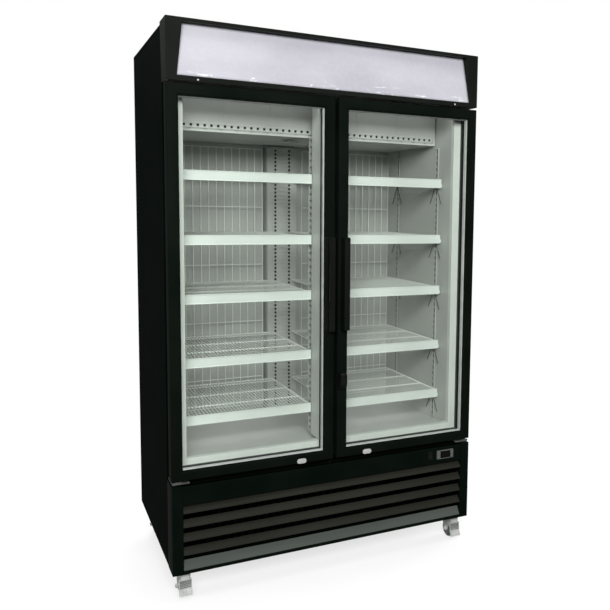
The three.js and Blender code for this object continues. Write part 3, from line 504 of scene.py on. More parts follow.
# Pale face lighter than the liner: its own pale colour plus painted light.
surround_white = surround_paint(
    "surround_white",
    "liner_paint",
    [(0.6, 0.62, 0.59), (0.65, 0.67, 0.64)],
    [(0.0125, 0.0145, 0.0125), (0.016, 0.018, 0.016)],
)
shelf_white = surface(
    "shelf_white", "shelf_coating", (0.82, 0.84, 0.81), (0.87, 0.88, 0.86), (0.22, 0.3),
    height=0.00002,
)
rail_white = surface(
    "rail_white", "shelf_coating", (0.63, 0.66, 0.63), (0.7, 0.73, 0.7), (0.14, 0.26),
    stretch=(0.3, 1, 2), height=0.00003,
)
clip_grey = surface(
    "clip_grey", "shelf_coating", (0.05, 0.055, 0.05), (0.09, 0.095, 0.09), (0.4, 0.5), patch=40
)
handle_plastic = surface(
    "handle_plastic", "black_plastic", (0.0035, 0.0045, 0.0036), (0.006, 0.007, 0.006),
    (0.3, 0.38), specular=0.15,
)
black_plastic = surface(
    "black_plastic", "black_plastic", (0.004, 0.0045, 0.004), (0.007, 0.0075, 0.007),
    (0.35, 0.5), specular=0.25,
)
display_black = surface(
    "display_black", "black_plastic", (0.0015, 0.002, 0.0018), (0.0025, 0.003, 0.0028),
    (0.08, 0.14), specular=0.3,
)
key_grey = surface(
    "key_grey", "key_plastic", (0.07, 0.075, 0.072), (0.1, 0.105, 0.1), (0.36, 0.46)
)
gasket_black = surface(
    "gasket_black", "gasket_rubber", (0.04, 0.044, 0.041), (0.06, 0.064, 0.061), (0.6, 0.75)
)
cord_black = surface(
    "cord_black", "cord_rubber", (0.008, 0.008, 0.008), (0.014, 0.014, 0.014), (0.55, 0.7)
)
# Condenser fins made near-black, unlike the evaporator's metal fins of the same slot: painted shade of
# the machine compartment behind the louvres.
condenser_shade_black = surface(
    "condenser_shade_black", "coil_fins", (0.0015, 0.0015, 0.0015), (0.003, 0.003, 0.003), (0.6, 0.7),
    specular=0.05,
)
fin_metal = surface(
    "fin_metal", "coil_fins", (0.42, 0.43, 0.43), (0.52, 0.53, 0.53), (0.3, 0.45),
    metallic=1, stretch=(8, 1, 1),
)
spacer_metal = surface(
    "spacer_metal", "door_glass", (0.42, 0.43, 0.42), (0.5, 0.51, 0.5), (0.3, 0.45), patch=40
)
chrome = surface(
    "chrome", "lock_chrome", (0.74, 0.75, 0.73), (0.82, 0.83, 0.81), (0.1, 0.2),
    metallic=0.6, height=0.00002,
)
zinc = surface(
    "zinc", "zinc_plate", (0.52, 0.54, 0.52), (0.7, 0.71, 0.69), (0.24, 0.38),
    metallic=0.4, patch=40,
)
bracket_steel = surface(
    "bracket_steel", "zinc_plate", (0.05, 0.052, 0.05), (0.08, 0.083, 0.08), (0.35, 0.5), patch=40
)
tread_grey = surface(
    "tread_grey", "wheel_tread", (0.13, 0.14, 0.13), (0.19, 0.2, 0.19), (0.5, 0.65), patch=30
)
enamel = surface(
    "enamel", "compressor_enamel", (0.01, 0.01, 0.01), (0.016, 0.016, 0.016), (0.2, 0.32)
)
lamp_white = surface(
    "lamp_white", "lamp_tube", (0.8, 0.8, 0.77), (0.86, 0.86, 0.83), (0.2, 0.3)
)
door_glass = clear_glass("door_glass", "door_glass", (0.972, 0.982, 0.974), 0.008)
sign_film = film_acrylic("sign_film", "sign_acrylic", (0.325, 0.32, 0.355), (0.385, 0.38, 0.415))


# ---- case


def dress_case():
    for name in ("left_side_panel", "right_side_panel"):
        dress_node(name, side_black, 1 * MM)
    for name in ("back_panel", "top_panel"):
        dress_node(name, back_black, 1 * MM)
    dress_node("base_frame", side_black, 0.8 * MM)
    dress_node("inner_liner", liner_white)
    dress_node("front_frame", surround_white, 1 * MM)
    dress_node("left_hinge_bracket", bracket_steel, 0.8 * MM)
    dress_node("right_hinge_bracket", bracket_steel, 0.8 * MM)


def add_screw(mesh, centre, axis, radius, toward):
    """Pan-head screw with a crossed recess. toward is the sign of its outward direction."""
    dome = [(0, 0.55), (0.35, 0.52), (0.7, 0.38), (0.95, 0.12), (1, 0), (0, 0)]
    profile = [(r * radius, toward * h * radius) for r, h in dome]
    add_turned(mesh, centre, axis, profile, 16)


def add_case_screws():
    """Screws round the back's cover and along the lips of the canopy."""
    back = Box("back_panel")
    back_count = 6
    lip_count = 4
    spread = 0.9  # share of the width that a row of screws spans
    mesh = bmesh.new()
    for i in range(back_count):
        x = spread * (back.x0 + (back.x1 - back.x0) * i / (back_count - 1))
        for z in (grille.z1 + 40 * MM, back.z1 - 20 * MM):
            add_screw(mesh, (x, back.y1, z), "y", 4.5 * MM, 1)
    add_piece("back_screws", mesh, zinc)
    mesh = bmesh.new()
    top_lip = (sign_box.z1 + canopy.z1) / 2
    for i in range(lip_count):
        x = spread * sign_box.x1 * (2 * i / (lip_count - 1) - 1)
        add_screw(mesh, (x, FRONT, top_lip), "y", 3 * MM, -1)
    add_piece("canopy_screws", mesh, front_black)
    mesh = bmesh.new()
    for sign in SIDES.values():
        add_screw(mesh, (sign * sign_box.x1 * 0.88, FRONT, canopy.z0 + 6 * MM), "y", 3.5 * MM, -1)
    add_piece("canopy_latch_screws", mesh, zinc)


# ---- canopy


def add_sign():
    """Sign panel that leans back towards its top and is slightly wavy."""
    columns = 120
    rows = 24
    ripple = 1.1 * MM
    taper = 19 * MM
    bottom_y = sign_box.y0 + 1 * MM
    lean = sign_box.y1 - sign_box.y0 - 4 * MM
    bottom_half = sign_box.x1
    top_half = bottom_half - taper
    mesh = bmesh.new()
    grid = []
    for row in range(rows + 1):
        share = row / rows
        half = bottom_half + (top_half - bottom_half) * share
        z = sign_box.z0 + (sign_box.z1 - sign_box.z0) * share
        line = []
        for column in range(columns + 1):
            x = half * (2 * column / columns - 1)
            wave = noise.noise((x * 4, z * 18, 0)) * ripple * math.sin(math.pi * share) ** 0.5
            line.append(mesh.verts.new((x, bottom_y + lean * share + wave, z)))
        grid.append(line)
    for near, far in zip(grid, grid[1:]):
        for i in range(columns):
            mesh.faces.new((near[i], near[i + 1], far[i + 1], far[i]))
    add_piece("sign_panel_sheet", mesh, sign_film, stands_for=["sign_panel"], sheet=2 * MM)


def add_canopy():
    dress_node("canopy_housing", front_black, 1.2 * MM)
    dress_node("canopy_lamp", lamp_white, 1 * MM)
    add_sign()


# ---- grille and controls

LOUVRE_COUNT = 4
LOUVRE_PITCH = 51 * MM
LOUVRE_DEPTH = 20 * MM
LOUVRE_SHEET = 2.5 * MM
STILE_WIDTH = 39 * MM
FACE_THICKNESS = 22 * MM
CONTROLLER_RING = 3 * MM  # how far the controller's face overlaps its hole


def louvre_outline(top, drop):
    """Blade that slopes forwards and down, with a folded nose."""
    nose = 2 * MM
    return rounded(
        [
            (FRONT, top - drop),
            (FRONT, top - drop - nose),
            (FRONT + LOUVRE_SHEET, top - drop - nose),
            (FRONT + LOUVRE_SHEET, top - drop - LOUVRE_SHEET),
            (FRONT + LOUVRE_DEPTH, top - LOUVRE_SHEET),
            (FRONT + LOUVRE_DEPTH, top),
        ],
        1.2 * MM,
    )


def front_hole(node, clearance):
    """Cutter through the grille's face round a node, wider than the node by the clearance."""
    low = (node.x0 - clearance, FRONT - 0.01, node.z0 - clearance)
    high = (node.x1 + clearance, FRONT + 0.03, node.z1 + clearance)
    return low, high


def add_grille_face(seam, mouth_top, band_top):
    """Stiles, control band and sill, with holes for the switch and the controller."""
    sheet = 2 * MM
    back = FRONT + FACE_THICKNESS
    inner_edge = seam + 0.6 * MM
    mesh = bmesh.new()
    for sign in SIDES.values():
        stile = rounded(
            [
                (sign * inner_edge, FRONT),
                (sign * HALF_WIDTH, FRONT),
                (sign * HALF_WIDTH, grille.y1),
                (sign * (HALF_WIDTH - sheet), grille.y1),
                (sign * (HALF_WIDTH - sheet), back),
                (sign * inner_edge, back),
            ],
            1.5 * MM,
        )
        add_prism(mesh, "z", stile, grille.z0, grille.z1)
    band = rounded(rectangle(FRONT + 3 * MM, back, mouth_top, band_top), 2 * MM)
    add_prism(mesh, "x", band, -seam, seam)
    sill = rounded(rectangle(FRONT, back, grille.z0, grille.z0 + 11 * MM), 1.5 * MM)
    add_prism(mesh, "x", sill, -seam, seam)
    piece = add_piece("grille", mesh, grille_shaded_black, stands_for=["grille_panel"])
    switch_hole = front_hole(Box("light_switch"), 0.8 * MM)
    controller_hole = front_hole(Box("controller_body"), -CONTROLLER_RING)
    carve(piece, [switch_hole, controller_hole])


def add_grille():
    """Formed front panel: face, louvres, a wider bottom louvre and a top return."""
    seam = HALF_WIDTH - STILE_WIDTH
    mouth_top = grille.z0 + 250 * MM
    band_top = grille.z1 - 4 * MM
    add_grille_face(seam, mouth_top, band_top)

    mesh = bmesh.new()
    first = mouth_top - 4 * MM
    for i in range(LOUVRE_COUNT):
        outline = louvre_outline(first - i * LOUVRE_PITCH, 23 * MM)
        add_prism(mesh, "x", outline, -seam, seam)
    add_piece("grille_louvres", mesh, louvre_lit_black)
    mesh = bmesh.new()
    last = louvre_outline(grille.z0 + 46 * MM, 31 * MM)
    add_prism(mesh, "x", last, -seam, seam)
    add_piece("grille_bottom_louvre", mesh, bottom_louvre_lit_black)
    mesh = bmesh.new()
    flange = rounded(rectangle(FRONT + 10 * MM, grille.y1, band_top - 2 * MM, band_top), 0.8 * MM)
    add_prism(mesh, "x", flange, -HALF_WIDTH + 3 * MM, HALF_WIDTH - 3 * MM)
    add_piece("grille_top_return", mesh, grille_shaded_black)


def add_controller():
    """Temperature controller: case, bezel and display."""
    body = Box("controller_body")
    mesh = bmesh.new()
    face = drawn_in(body.edges, CONTROLLER_RING, CONTROLLER_RING)
    case = rounded(rectangle(*face), 1 * MM)
    add_prism(mesh, "y", case, FRONT - 1 * MM, body.y1)
    add_piece(
        "controller_case", mesh, black_plastic, stands_for=["controller_body"], bevel=0.5 * MM
    )

    mesh = bmesh.new()
    rim = 1.4 * MM
    bezel = [
        (0, FRONT + 2.7 * MM),
        (0, body.y0 + 1 * MM),
        (1 * MM, body.y0),
        (rim + 1 * MM, body.y0),
        (rim + 1.6 * MM, FRONT - 1 * MM),
        (rim + 1.6 * MM, FRONT + 2.7 * MM),
    ]
    add_mitred_ring(mesh, body.edges, bezel)
    add_piece("controller_bezel", mesh, key_grey)

    mesh = bmesh.new()
    pane = rounded(rectangle(*drawn_in(body.edges, 17 * MM, 4 * MM)), 1.5 * MM)
    add_prism(mesh, "y", pane, body.y0 + 1.2 * MM, FRONT - 0.9 * MM)
    add_piece("controller_display", mesh, display_black, bevel=0.4 * MM)


def add_key(node):
    """Controller key: two halves on a common backing."""
    key = Box(node)
    middle = (key.z0 + key.z1) / 2
    half_gap = 0.5 * MM
    margin = 2 * MM
    mesh = bmesh.new()
    for low, high in ((key.z0, middle - half_gap), (middle + half_gap, key.z1)):
        half = rounded(rectangle(key.x0, key.x1, low, high), 1.5 * MM)
        add_prism(mesh, "y", half, key.y0, key.y1)
    backing_low = (key.x0 + margin, key.y1 - 1 * MM, key.z0 + margin)
    backing_high = (key.x1 - margin, key.y1, key.z1 - margin)
    add_box(mesh, backing_low, backing_high)
    add_piece(f"{node}_cap", mesh, key_grey, node, [node], bevel=0.5 * MM)


def add_controls():
    add_controller()
    for side in SIDES:
        add_key(f"controller_{side}_button")
    dress_node("light_switch", black_plastic, 1 * MM)


# ---- doors

GASKET_INSET = 12 * MM
PANE_BITE = 9 * MM  # how far the glass runs into the frame
DOOR_THICKNESS = 48 * MM


def circle_arc(centre, radius, start, end, steps):
    """Points of an arc in degrees."""
    angles = [math.radians(start + (end - start) * i / steps) for i in range(steps + 1)]
    return [(centre[0] + radius * math.cos(a), centre[1] + radius * math.sin(a)) for a in angles]


def add_hinge_pins(mesh, side, outer):
    """Chamfered pins below and above the door's hinge stile."""
    node = Box(f"{side}_door_frame")
    place = (SIDES[side] * (HALF_WIDTH - 14 * MM), FRONT + 24 * MM, 0)
    radius = 5 * MM
    chamfer = 0.7 * MM
    overlap = 1 * MM
    for low, high in ((node.z0, outer[2] + overlap), (outer[3] - overlap, node.z1)):
        profile = [
            (0, low),
            (radius - chamfer, low),
            (radius, low + chamfer),
            (radius, high - chamfer),
            (radius - chamfer, high),
            (0, high),
        ]
        add_turned(mesh, place, "z", profile, 20)


def cam_slot(side, outer):
    """Cutter for the slot in the bottom rail where the lock's cam turns."""
    lock = Box(f"{side}_door_lock")
    x = (lock.x0 + lock.x1) / 2
    reach = 20 * MM
    low = (x - reach, FRONT + 28 * MM, outer[2] - 0.01)
    high = (x + reach, FRONT + 36 * MM, outer[2] + 18.5 * MM)
    return low, high


def add_door_frame(side, body, outer, window, pane):
    """Mitred aluminium frame with rounded edges, a stepped bead at the glass and hinge pins."""
    back = FRONT + DOOR_THICKNESS
    edge = 3 * MM
    groove = -PANE_BITE - 0.3 * MM
    groove_front = pane.y0 - 0.2 * MM
    groove_back = pane.y1 + 0.2 * MM
    rim = [
        (1 * MM, back),
        (0, back - 1 * MM),
        (0, FRONT + edge),
        (0.3 * edge, FRONT + 0.3 * edge),
        (edge, FRONT),
    ]
    steps = in_metres([(-6, 0), (-5, 0.8), (-4.4, 2.2), (-1, 2.8), (0, 4.4)])
    bead = [(offset, FRONT + depth) for offset, depth in steps]
    bead += [
        (0, groove_front),
        (groove, groove_front),
        (groove, groove_back),
        (0, groove_back),
        (0, back - 2 * MM),
        (-2 * MM, back),
    ]
    mesh = bmesh.new()
    add_mitred_ring(mesh, outer, rim, window, bead)
    add_hinge_pins(mesh, side, outer)
    piece = add_piece(f"{side}_door_rails", mesh, door_black, body, [f"{side}_door_frame"])
    carve(piece, [cam_slot(side, outer)])


def add_door_glass(side, body, pane):
    """Two panes with rounded edges and the metal spacer between them."""
    thickness = 4 * MM
    mesh = bmesh.new()
    for y0 in (pane.y0, pane.y1 - thickness):
        add_prism(mesh, "y", rectangle(*pane.edges), y0, y0 + thickness)
    add_piece(f"{side}_door_panes", mesh, door_glass, body, [f"{side}_door_glass"], bevel=0.6 * MM)
    mesh = bmesh.new()
    y0 = pane.y0 + thickness + 0.1 * MM
    y1 = pane.y1 - thickness - 0.1 * MM
    add_mitred_ring(mesh, pane.edges, rectangle(1 * MM, 11 * MM, y0, y1))
    add_piece(f"{side}_door_spacer", mesh, spacer_metal, body, bevel=0.5 * MM)


def add_gasket(side, body):
    """Magnetic seal with a foot, a bellows and a flat magnet pocket."""
    node = Box(f"{side}_door_gasket")
    width = 22 * MM
    depth = node.y1 - node.y0
    foot = [(0.12, 0), (0.12, 0.16), (0, 0.22), (0, 0.3)]
    bellows = [(0.16, 0.38), (0.16, 0.46)]
    pocket = [(0, 0.54), (0, 0.95), (0.05, 1)]
    half_shape = foot + bellows + pocket
    shape = half_shape + [(1 - u, v) for u, v in reversed(half_shape)]
    profile = [(u * width, node.y0 + v * depth) for u, v in shape]
    mesh = bmesh.new()
    add_mitred_ring(mesh, node.edges, profile)
    add_piece(f"{side}_door_seal", mesh, gasket_black, body, [f"{side}_door_gasket"])


def add_handle(side, body):
    """Pull bar: C-section with rounded edges and its open side towards the glass."""
    node = Box(f"{side}_door_handle")
    sign = SIDES[side]
    meeting = node.x0 if sign > 0 else node.x1
    width = node.x1 - node.x0
    depth = node.y1 - node.y0
    flange = 0.15 * depth
    lip = 0.2 * depth
    wall = 9 * MM
    grip = 22 * MM
    outline = [
        (width, 0),
        (0, 0),
        (0, depth),
        (grip, depth),
        (grip, depth - lip),
        (wall, depth - lip),
        (wall, flange),
        (width, flange),
    ]
    section = [(meeting + sign * u, node.y1 - v) for u, v in outline]
    mesh = bmesh.new()
    add_prism(mesh, "z", rounded(section, 2.2 * MM, 4), node.z0, node.z1)
    add_piece(f"{side}_door_pull", mesh, handle_plastic, body, [f"{side}_door_handle"], bevel=0.9 * MM)


def add_lock(side, body):
    """Chrome escutcheon on the door, and the key plug that turns in it with its cam."""
    node = Box(f"{side}_door_lock")
    plate = Box(f"{side}_door_frame")
    x = (node.x0 + node.x1) / 2
    z = joint_place(f"{side}_lock_turn")[2]
    half_long = 18.5 * MM
    half_high = 9.3 * MM
    ends = half_long - half_high
    face = circle_arc((x + ends, z), half_high, -90, 90, 10)
    face += circle_arc((x - ends, z), half_high, 90, 270, 10)
    mesh = bmesh.new()
    add_prism(mesh, "y", face, plate.y0, FRONT + 0.2 * MM)
    collar = in_metres([(7.2, 0), (7.2, -3.2), (8.6, -3.4), (9, 0)])
    add_turned(mesh, (x, FRONT, z), "y", collar, 28)
    add_piece(f"{side}_lock_escutcheon", mesh, chrome, body, bevel=0.7 * MM)

    mesh = bmesh.new()
    front = node.y0
    recess = 2 * MM
    cam_front = node.y1 - 4 * MM
    plug = [
        (0, front + recess),
        (1.2 * MM, front + recess),
        (1.6 * MM, front),
        (5.6 * MM, front),
        (6.5 * MM, front + 0.8 * MM),
        (6.5 * MM, cam_front),
        (0, cam_front),
    ]
    add_turned(mesh, (x, 0, z), "y", plug, 28)
    cam = rounded(rectangle(x - 5 * MM, x + 5 * MM, node.z0, z + 5 * MM), 2 * MM)
    add_prism(mesh, "y", cam, cam_front, node.y1)
    piece = add_piece(f"{side}_lock_plug", mesh, chrome, f"{side}_lock", [f"{side}_door_lock"])
    keyway_low = (x - 0.9 * MM, front - 0.01, z - 4 * MM)
    keyway_high = (x + 0.9 * MM, front + recess, z + 4 * MM)
    carve(piece, [(keyway_low, keyway_high)])


def add_hasp():
    """Moulded block on the right door's meeting stile, chamfered above and below."""
    node = Box("hasp_block")
    height = node.z1 - node.z0
    side = [
        (node.y1, node.z0),
        (node.y1, node.z1),
        (node.y0 + 8 * MM, node.z1),
        (node.y0, node.z1 - 0.16 * height),
        (node.y0, node.z0 + 0.26 * height),
        (node.y0 + 12 * MM, node.z0),
    ]
    mesh = bmesh.new()
    add_prism(mesh, "x", rounded(side, 5 * MM, 4), node.x0, node.x1)
    add_piece("hasp_moulding", mesh, handle_plastic, "right_door", ["hasp_block"], bevel=1.5 * MM)


def add_door(side):
    body = f"{side}_door"
    pane = Box(f"{side}_door_glass")
    seal = Box(f"{side}_door_gasket")
    outer = drawn_in(seal.edges, -GASKET_INSET, -GASKET_INSET)
    window = drawn_in(pane.edges, PANE_BITE, PANE_BITE)
    add_door_frame(side, body, outer, window, pane)
    add_door_glass(side, body, pane)
    add_gasket(side, body)
    add_handle(side, body)
    add_lock(side, body)


# ---- interior

SHEET = 1.2 * MM
# The dark strips behind slots are painted shade seen through the slots.
SHADE_STRIP_MARGIN = 2 * MM  # how far a dark strip behind slots stops short of the channel's ends


def add_standard(name):
    """Slotted channel on a side wall that shelf clips hook into, with a dark strip behind the slots as
    painted shade.
    """
    node = Box(name)
    wall_side = 1 if node.x0 > 0 else -1
    face_x = node.x0 if wall_side > 0 else node.x1
    middle = (node.y0 + node.y1) / 2
    half_slot = 4 * MM
    cuts = slot_cuts(node.z0, node.z1, 25.4 * MM, 17 * MM)
    mesh = bmesh.new()
    across = [node.y0, middle - half_slot, middle + half_slot, node.y1]
    add_sheet(mesh, lambda u, v: (face_x, u, v), across, cuts, slotted=[1])
    for y in (node.y0, node.y1):
        add_sheet(mesh, lambda u, v, y=y: (u, y, v), [node.x0, node.x1], cuts)
    weld(mesh)
    add_piece(f"{name}_channel", mesh, liner_white, stands_for=[name], sheet=SHEET)
    # Dark strip behind the slots: painted shade seen through them.
    mesh = bmesh.new()
    near, far = sorted((face_x + wall_side * SHEET, face_x + wall_side * 2 * SHEET))
    half_shade_strip = 6 * MM
    add_box(
        mesh,
        (near, middle - half_shade_strip, node.z0 + SHADE_STRIP_MARGIN),
        (far, middle + half_shade_strip, node.z1 - SHADE_STRIP_MARGIN),
    )
    add_piece(f"{name}_slot_shade_strip", mesh, gasket_black)


def add_pilaster():
    """Channel on the back wall with sloping sides and two columns of fine slots, with dark strips
    behind them as painted shade.
    """
    column = 32 * MM
    half_slot = 4.5 * MM
    slope = 10 * MM
    x_cuts = [pilaster.x0 + slope]
    for x in (-column, column):
        x_cuts += [x - half_slot, x + half_slot]
    x_cuts.append(pilaster.x1 - slope)
    z_cuts = slot_cuts(pilaster.z0, pilaster.z1, 17 * MM, 9.5 * MM)
    mesh = bmesh.new()
    add_sheet(mesh, lambda u, v: (u, pilaster.y0, v), x_cuts, z_cuts, slotted=[1, 3])
    for root, face in ((pilaster.x0, x_cuts[0]), (pilaster.x1, x_cuts[-1])):
        depth = {face: pilaster.y0, root: pilaster.y1}
        add_sheet(mesh, lambda u, v, depth=depth: (u, depth[u], v), sorted(depth), z_cuts)
    weld(mesh)
    add_piece("pilaster_channel", mesh, liner_white, stands_for=["rear_pilaster"], sheet=SHEET)
    # Dark strips behind the slot columns: painted shade seen through the slots.
    mesh = bmesh.new()
    half_shade_strip = 8 * MM
    for x in (-column, column):
        add_box(
            mesh,
            (x - half_shade_strip, pilaster.y0 + 1.5 * MM, pilaster.z0 + SHADE_STRIP_MARGIN),
            (x + half_shade_strip, pilaster.y0 + 3.5 * MM, pilaster.z1 - SHADE_STRIP_MARGIN),
        )
    add_piece("pilaster_slot_shade_strips", mesh, black_plastic, bevel=0.4 * MM)


def add_mullion_strip():
    """Slotted strip behind the centre post that carries the shelves' inner front corners."""
    top = cover.z0
    bottom = liner.z0 + 60 * MM
    front = surround.y0 + 92 * MM
    back = front + 38 * MM
    middle = (front + back) / 2
    half = 38 * MM
    half_slot = 10 * MM
    y_cuts = [front, middle - half_slot, middle + half_slot, back]
    z_cuts = slot_cuts(bottom, top, 26 * MM, 14 * MM)
    mesh = bmesh.new()
    for x in (-half, half):
        add_sheet(mesh, lambda u, v, x=x: (x, u, v), y_cuts, z_cuts, slotted=[1])
    add_sheet(mesh, lambda u, v: (u, back, v), [-half, half], z_cuts)
    weld(mesh)
    add_piece("mullion_strip", mesh, liner_white, sheet=SHEET)


def add_wall_grid():
    """Light wire guard in front of the back wall, to both sides of the pilaster."""
    radius = 1.6 * MM
    depth = liner.y1 - 35 * MM
    z0 = liner.z0 + 70 * MM
    z1 = cover.z0 - 20 * MM
    columns = 14
    rows = 10
    for side, sign in SIDES.items():
        near = sign * (pilaster.x1 + 15 * MM)
        far = sign * 530 * MM
        mesh = bmesh.new()
        for i in range(columns):
            x = near + (far - near) * i / (columns - 1)
            add_tube(mesh, [(x, depth, z0), (x, depth, z1)], radius, 6)
        for i in range(rows):
            z = z0 + (z1 - z0) * i / (rows - 1)
            add_tube(mesh, [(near, depth + 2 * radius, z), (far, depth + 2 * radius, z)], radius, 6)
        add_piece(f"{side}_wall_guard", mesh, shelf_white)


shelf = Box("right_shelf_1")
SHELF_MARGIN = 4 * MM  # from the shelf's sides to its border wire and its rail's ends
THIN_WIRE = 1.7 * MM
THICK_WIRE = 3.2 * MM


def deck_mesh(sign):
    """Wires of one side's shelves, top at z 0."""
    inner, outer = sorted((sign * (shelf.x0 + SHELF_MARGIN), sign * (shelf.x1 - SHELF_MARGIN)))
    front = shelf.y0 + 6 * MM
    back = shelf.y1
    border_z = -8 * MM
    deck_z = border_z + 3 * MM
    cross_z = border_z - 1.5 * MM
    mesh = bmesh.new()
    corners = rounded(rectangle(inner, outer, front, back), 14 * MM, 5)
    border = [(x, y, border_z) for x, y in corners]
    border += border[:2]
    add_tube(mesh, border, THICK_WIRE, 8)
    count = int((outer - inner) / (13 * MM))
    for i in range(1, count):
        x = inner + (outer - inner) * i / count
        add_tube(mesh, [(x, front, deck_z), (x, back, deck_z)], THIN_WIRE, 6)
    for share in (0.03, 0.3, 0.62, 0.93):
        y = front + (back - front) * share
        add_tube(mesh, [(inner, y, cross_z), (outer, y, cross_z)], THICK_WIRE, 8)
    return finish_mesh(mesh, f"deck_{sign}", shelf_white)


def rail_mesh(sign):
    """Price rail of one side's shelves with a tab at its outer end, top at z 0."""
    inner, outer = sorted((sign * (shelf.x0 + SHELF_MARGIN), sign * (shelf.x1 - SHELF_MARGIN)))
    height = shelf.z1 - shelf.z0
    upper = in_metres([(3, -3), (5.4, -3), (5.4, 0), (0.6, 0), (-0.2, -2), (1.4, -4.2)])
    lower = in_metres([(1.4, 4.2), (-0.2, 2), (0.6, 0), (5, 0), (5, 3), (3, 3)])
    section = upper + [(1 * MM, -height / 2)] + [(y, z - height) for y, z in lower]
    outline = [(shelf.y0 + y, z) for y, z in section]
    mesh = bmesh.new()
    add_prism(mesh, "x", rounded(outline, 0.7 * MM, 2), inner, outer)
    root = shelf.x1 - 5 * MM
    tip = shelf.x1 + 3 * MM
    tab = [
        (sign * root, -height * 0.45),
        (sign * tip, -height * 0.75),
        (sign * root, -height * 0.95),
    ]
    add_prism(mesh, "y", tab, shelf.y0 + 2 * MM, shelf.y0 + 4 * MM)
    return finish_mesh(mesh, f"rail_{sign}", rail_white)


def clip_mesh(sign):
    """Bent wire brackets that hang a shelf on the two wall standards, top at z 0."""
    mesh = bmesh.new()
    for name in ("right_front_shelf_standard", "right_rear_shelf_standard"):
        node = Box(name)
        middle = (node.y0 + node.y1) / 2
        x = sign * (node.x0 - 3 * MM)
        bends = in_metres([(-48, -104), (-3, -26), (0, -22), (3, -26), (48, -104)])
        add_tube(mesh, [(x, middle + y, z) for y, z in bends], THIN_WIRE, 6)
    return finish_mesh(mesh, f"clips_{sign}", clip_grey)


def add_shelves():
    """Five shelves a side, which share their three meshes."""
    for side, sign in SIDES.items():
        parts = {
            "deck": (deck_mesh(sign), shelf_white),
            "rail": (rail_mesh(sign), rail_white),
            "clips": (clip_mesh(sign), clip_grey),
        }
        for number in range(1, 6):
            node = f"{side}_shelf_{number}"
            top = Box(node).z1
            for part, (mesh, material) in parts.items():
                stands_for = [node] if part == "deck" else []
                piece = add_piece(f"{node}_{part}", mesh, material, stands_for=stands_for)
                piece.location.z = top


def add_vent_strip(low, high):
    """Strip with a row of square vents, and a dark sheet behind them as painted shade in the vents."""
    vent = 9 * MM
    margin = 10 * MM
    x_cuts = slot_cuts(cover.x0 + margin, cover.x1 - margin, 25 * MM, vent)
    z_cuts = [low, low + 8 * MM, low + 8 * MM + vent, high]
    mesh = bmesh.new()
    add_sheet(mesh, lambda z, x: (x, cover.y0 - 1 * MM, z), z_cuts, x_cuts, slotted=[1])
    add_piece("evaporator_vent_strip", mesh, liner_white, sheet=SHEET)
    # Dark sheet on the cover behind the vents: painted shade seen through them.
    inset = 2 * MM
    shade_low = (cover.x0 + margin + inset, cover.y0 - 0.25 * MM, low + inset)
    shade_high = (cover.x1 - margin - inset, cover.y0, high - inset)
    mesh = bmesh.new()
    add_box(mesh, shade_low, shade_high)
    add_piece("evaporator_vent_shade", mesh, black_plastic)


def add_fan_guard():
    """Wire rings under the evaporator fan on four spokes."""
    middle = Box("evaporator_fan").centre
    ring_z = cover.z0 - 3 * MM
    spoke_z = cover.z0 - 1 * MM
    mesh = bmesh.new()
    for ring in range(1, 6):
        circle = circle_arc((middle.x, middle.y), ring * 20 * MM, 0, 370, 37)
        add_tube(mesh, [(x, y, ring_z) for x, y in circle], 1.3 * MM, 6)
    for angle in (45, 135, 225, 315):
        (x, y), *_ = circle_arc((middle.x, middle.y), 108 * MM, angle, angle + 1, 1)
        add_tube(mesh, [(middle.x, middle.y, spoke_z), (x, y, spoke_z)], 1.6 * MM, 6)
    add_piece("evaporator_fan_guard", mesh, shelf_white)


def add_evaporator():
    """Cover under the ceiling with a row of vents along its lower front edge, and its seams."""
    dress_node("evaporator_cover", liner_white, 1.2 * MM)
    dress_node("evaporator_coil", fin_metal)
    dress_node("evaporator_fan", black_plastic, 0.8 * MM)
    vents_bottom = cover.z0 + 10 * MM
    vents_top = cover.z0 + 34 * MM
    add_vent_strip(vents_bottom, vents_top)
    half_strap = 9 * MM
    mesh = bmesh.new()
    for share in (1 / 6, 1 / 3, 2 / 3, 5 / 6):
        x = cover.x0 + (cover.x1 - cover.x0) * share
        face = rectangle(x - half_strap, x + half_strap, cover.y0 - 2 * MM, cover.y0)
        add_prism(mesh, "z", rounded(face, 0.8 * MM), vents_top + 4 * MM, cover.z1)
    add_piece("evaporator_cover_straps", mesh, liner_white)
    add_fan_guard()


def add_interior():
    for side in SIDES:
        for place in ("front", "rear"):
            add_standard(f"{side}_{place}_shelf_standard")
    add_pilaster()
    add_mullion_strip()
    add_wall_grid()
    add_shelves()
    add_evaporator()


# ---- machine compartment


def add_machine():
    dress_node("condenser_coil", condenser_shade_black, 0.6 * MM)
    dress_node("condenser_fan", black_plastic, 0.8 * MM)
    dress_node("compressor", enamel, 1.5 * MM)
    dress_node("power_cord", cord_black, 0.8 * MM)


# ---- casters


def add_bearing_race(name):
    """Domed ring round the kingpin, between the caster's plate and its fork."""
    pivot_x, pivot_y, _ = joint_place(f"{name}_caster_swivel")
    bore = 12
    race = [(bore, 96), (26, 96), (29.5, 94), (31, 91), (29.5, 88), (26, 86.5), (bore, 86.5)]
    mesh = bmesh.new()
    add_turned(mesh, (pivot_x, pivot_y, 0), "z", in_metres(race), 32)
    add_piece(f"{name}_bearing_race", mesh, zinc, f"{name}_fork")


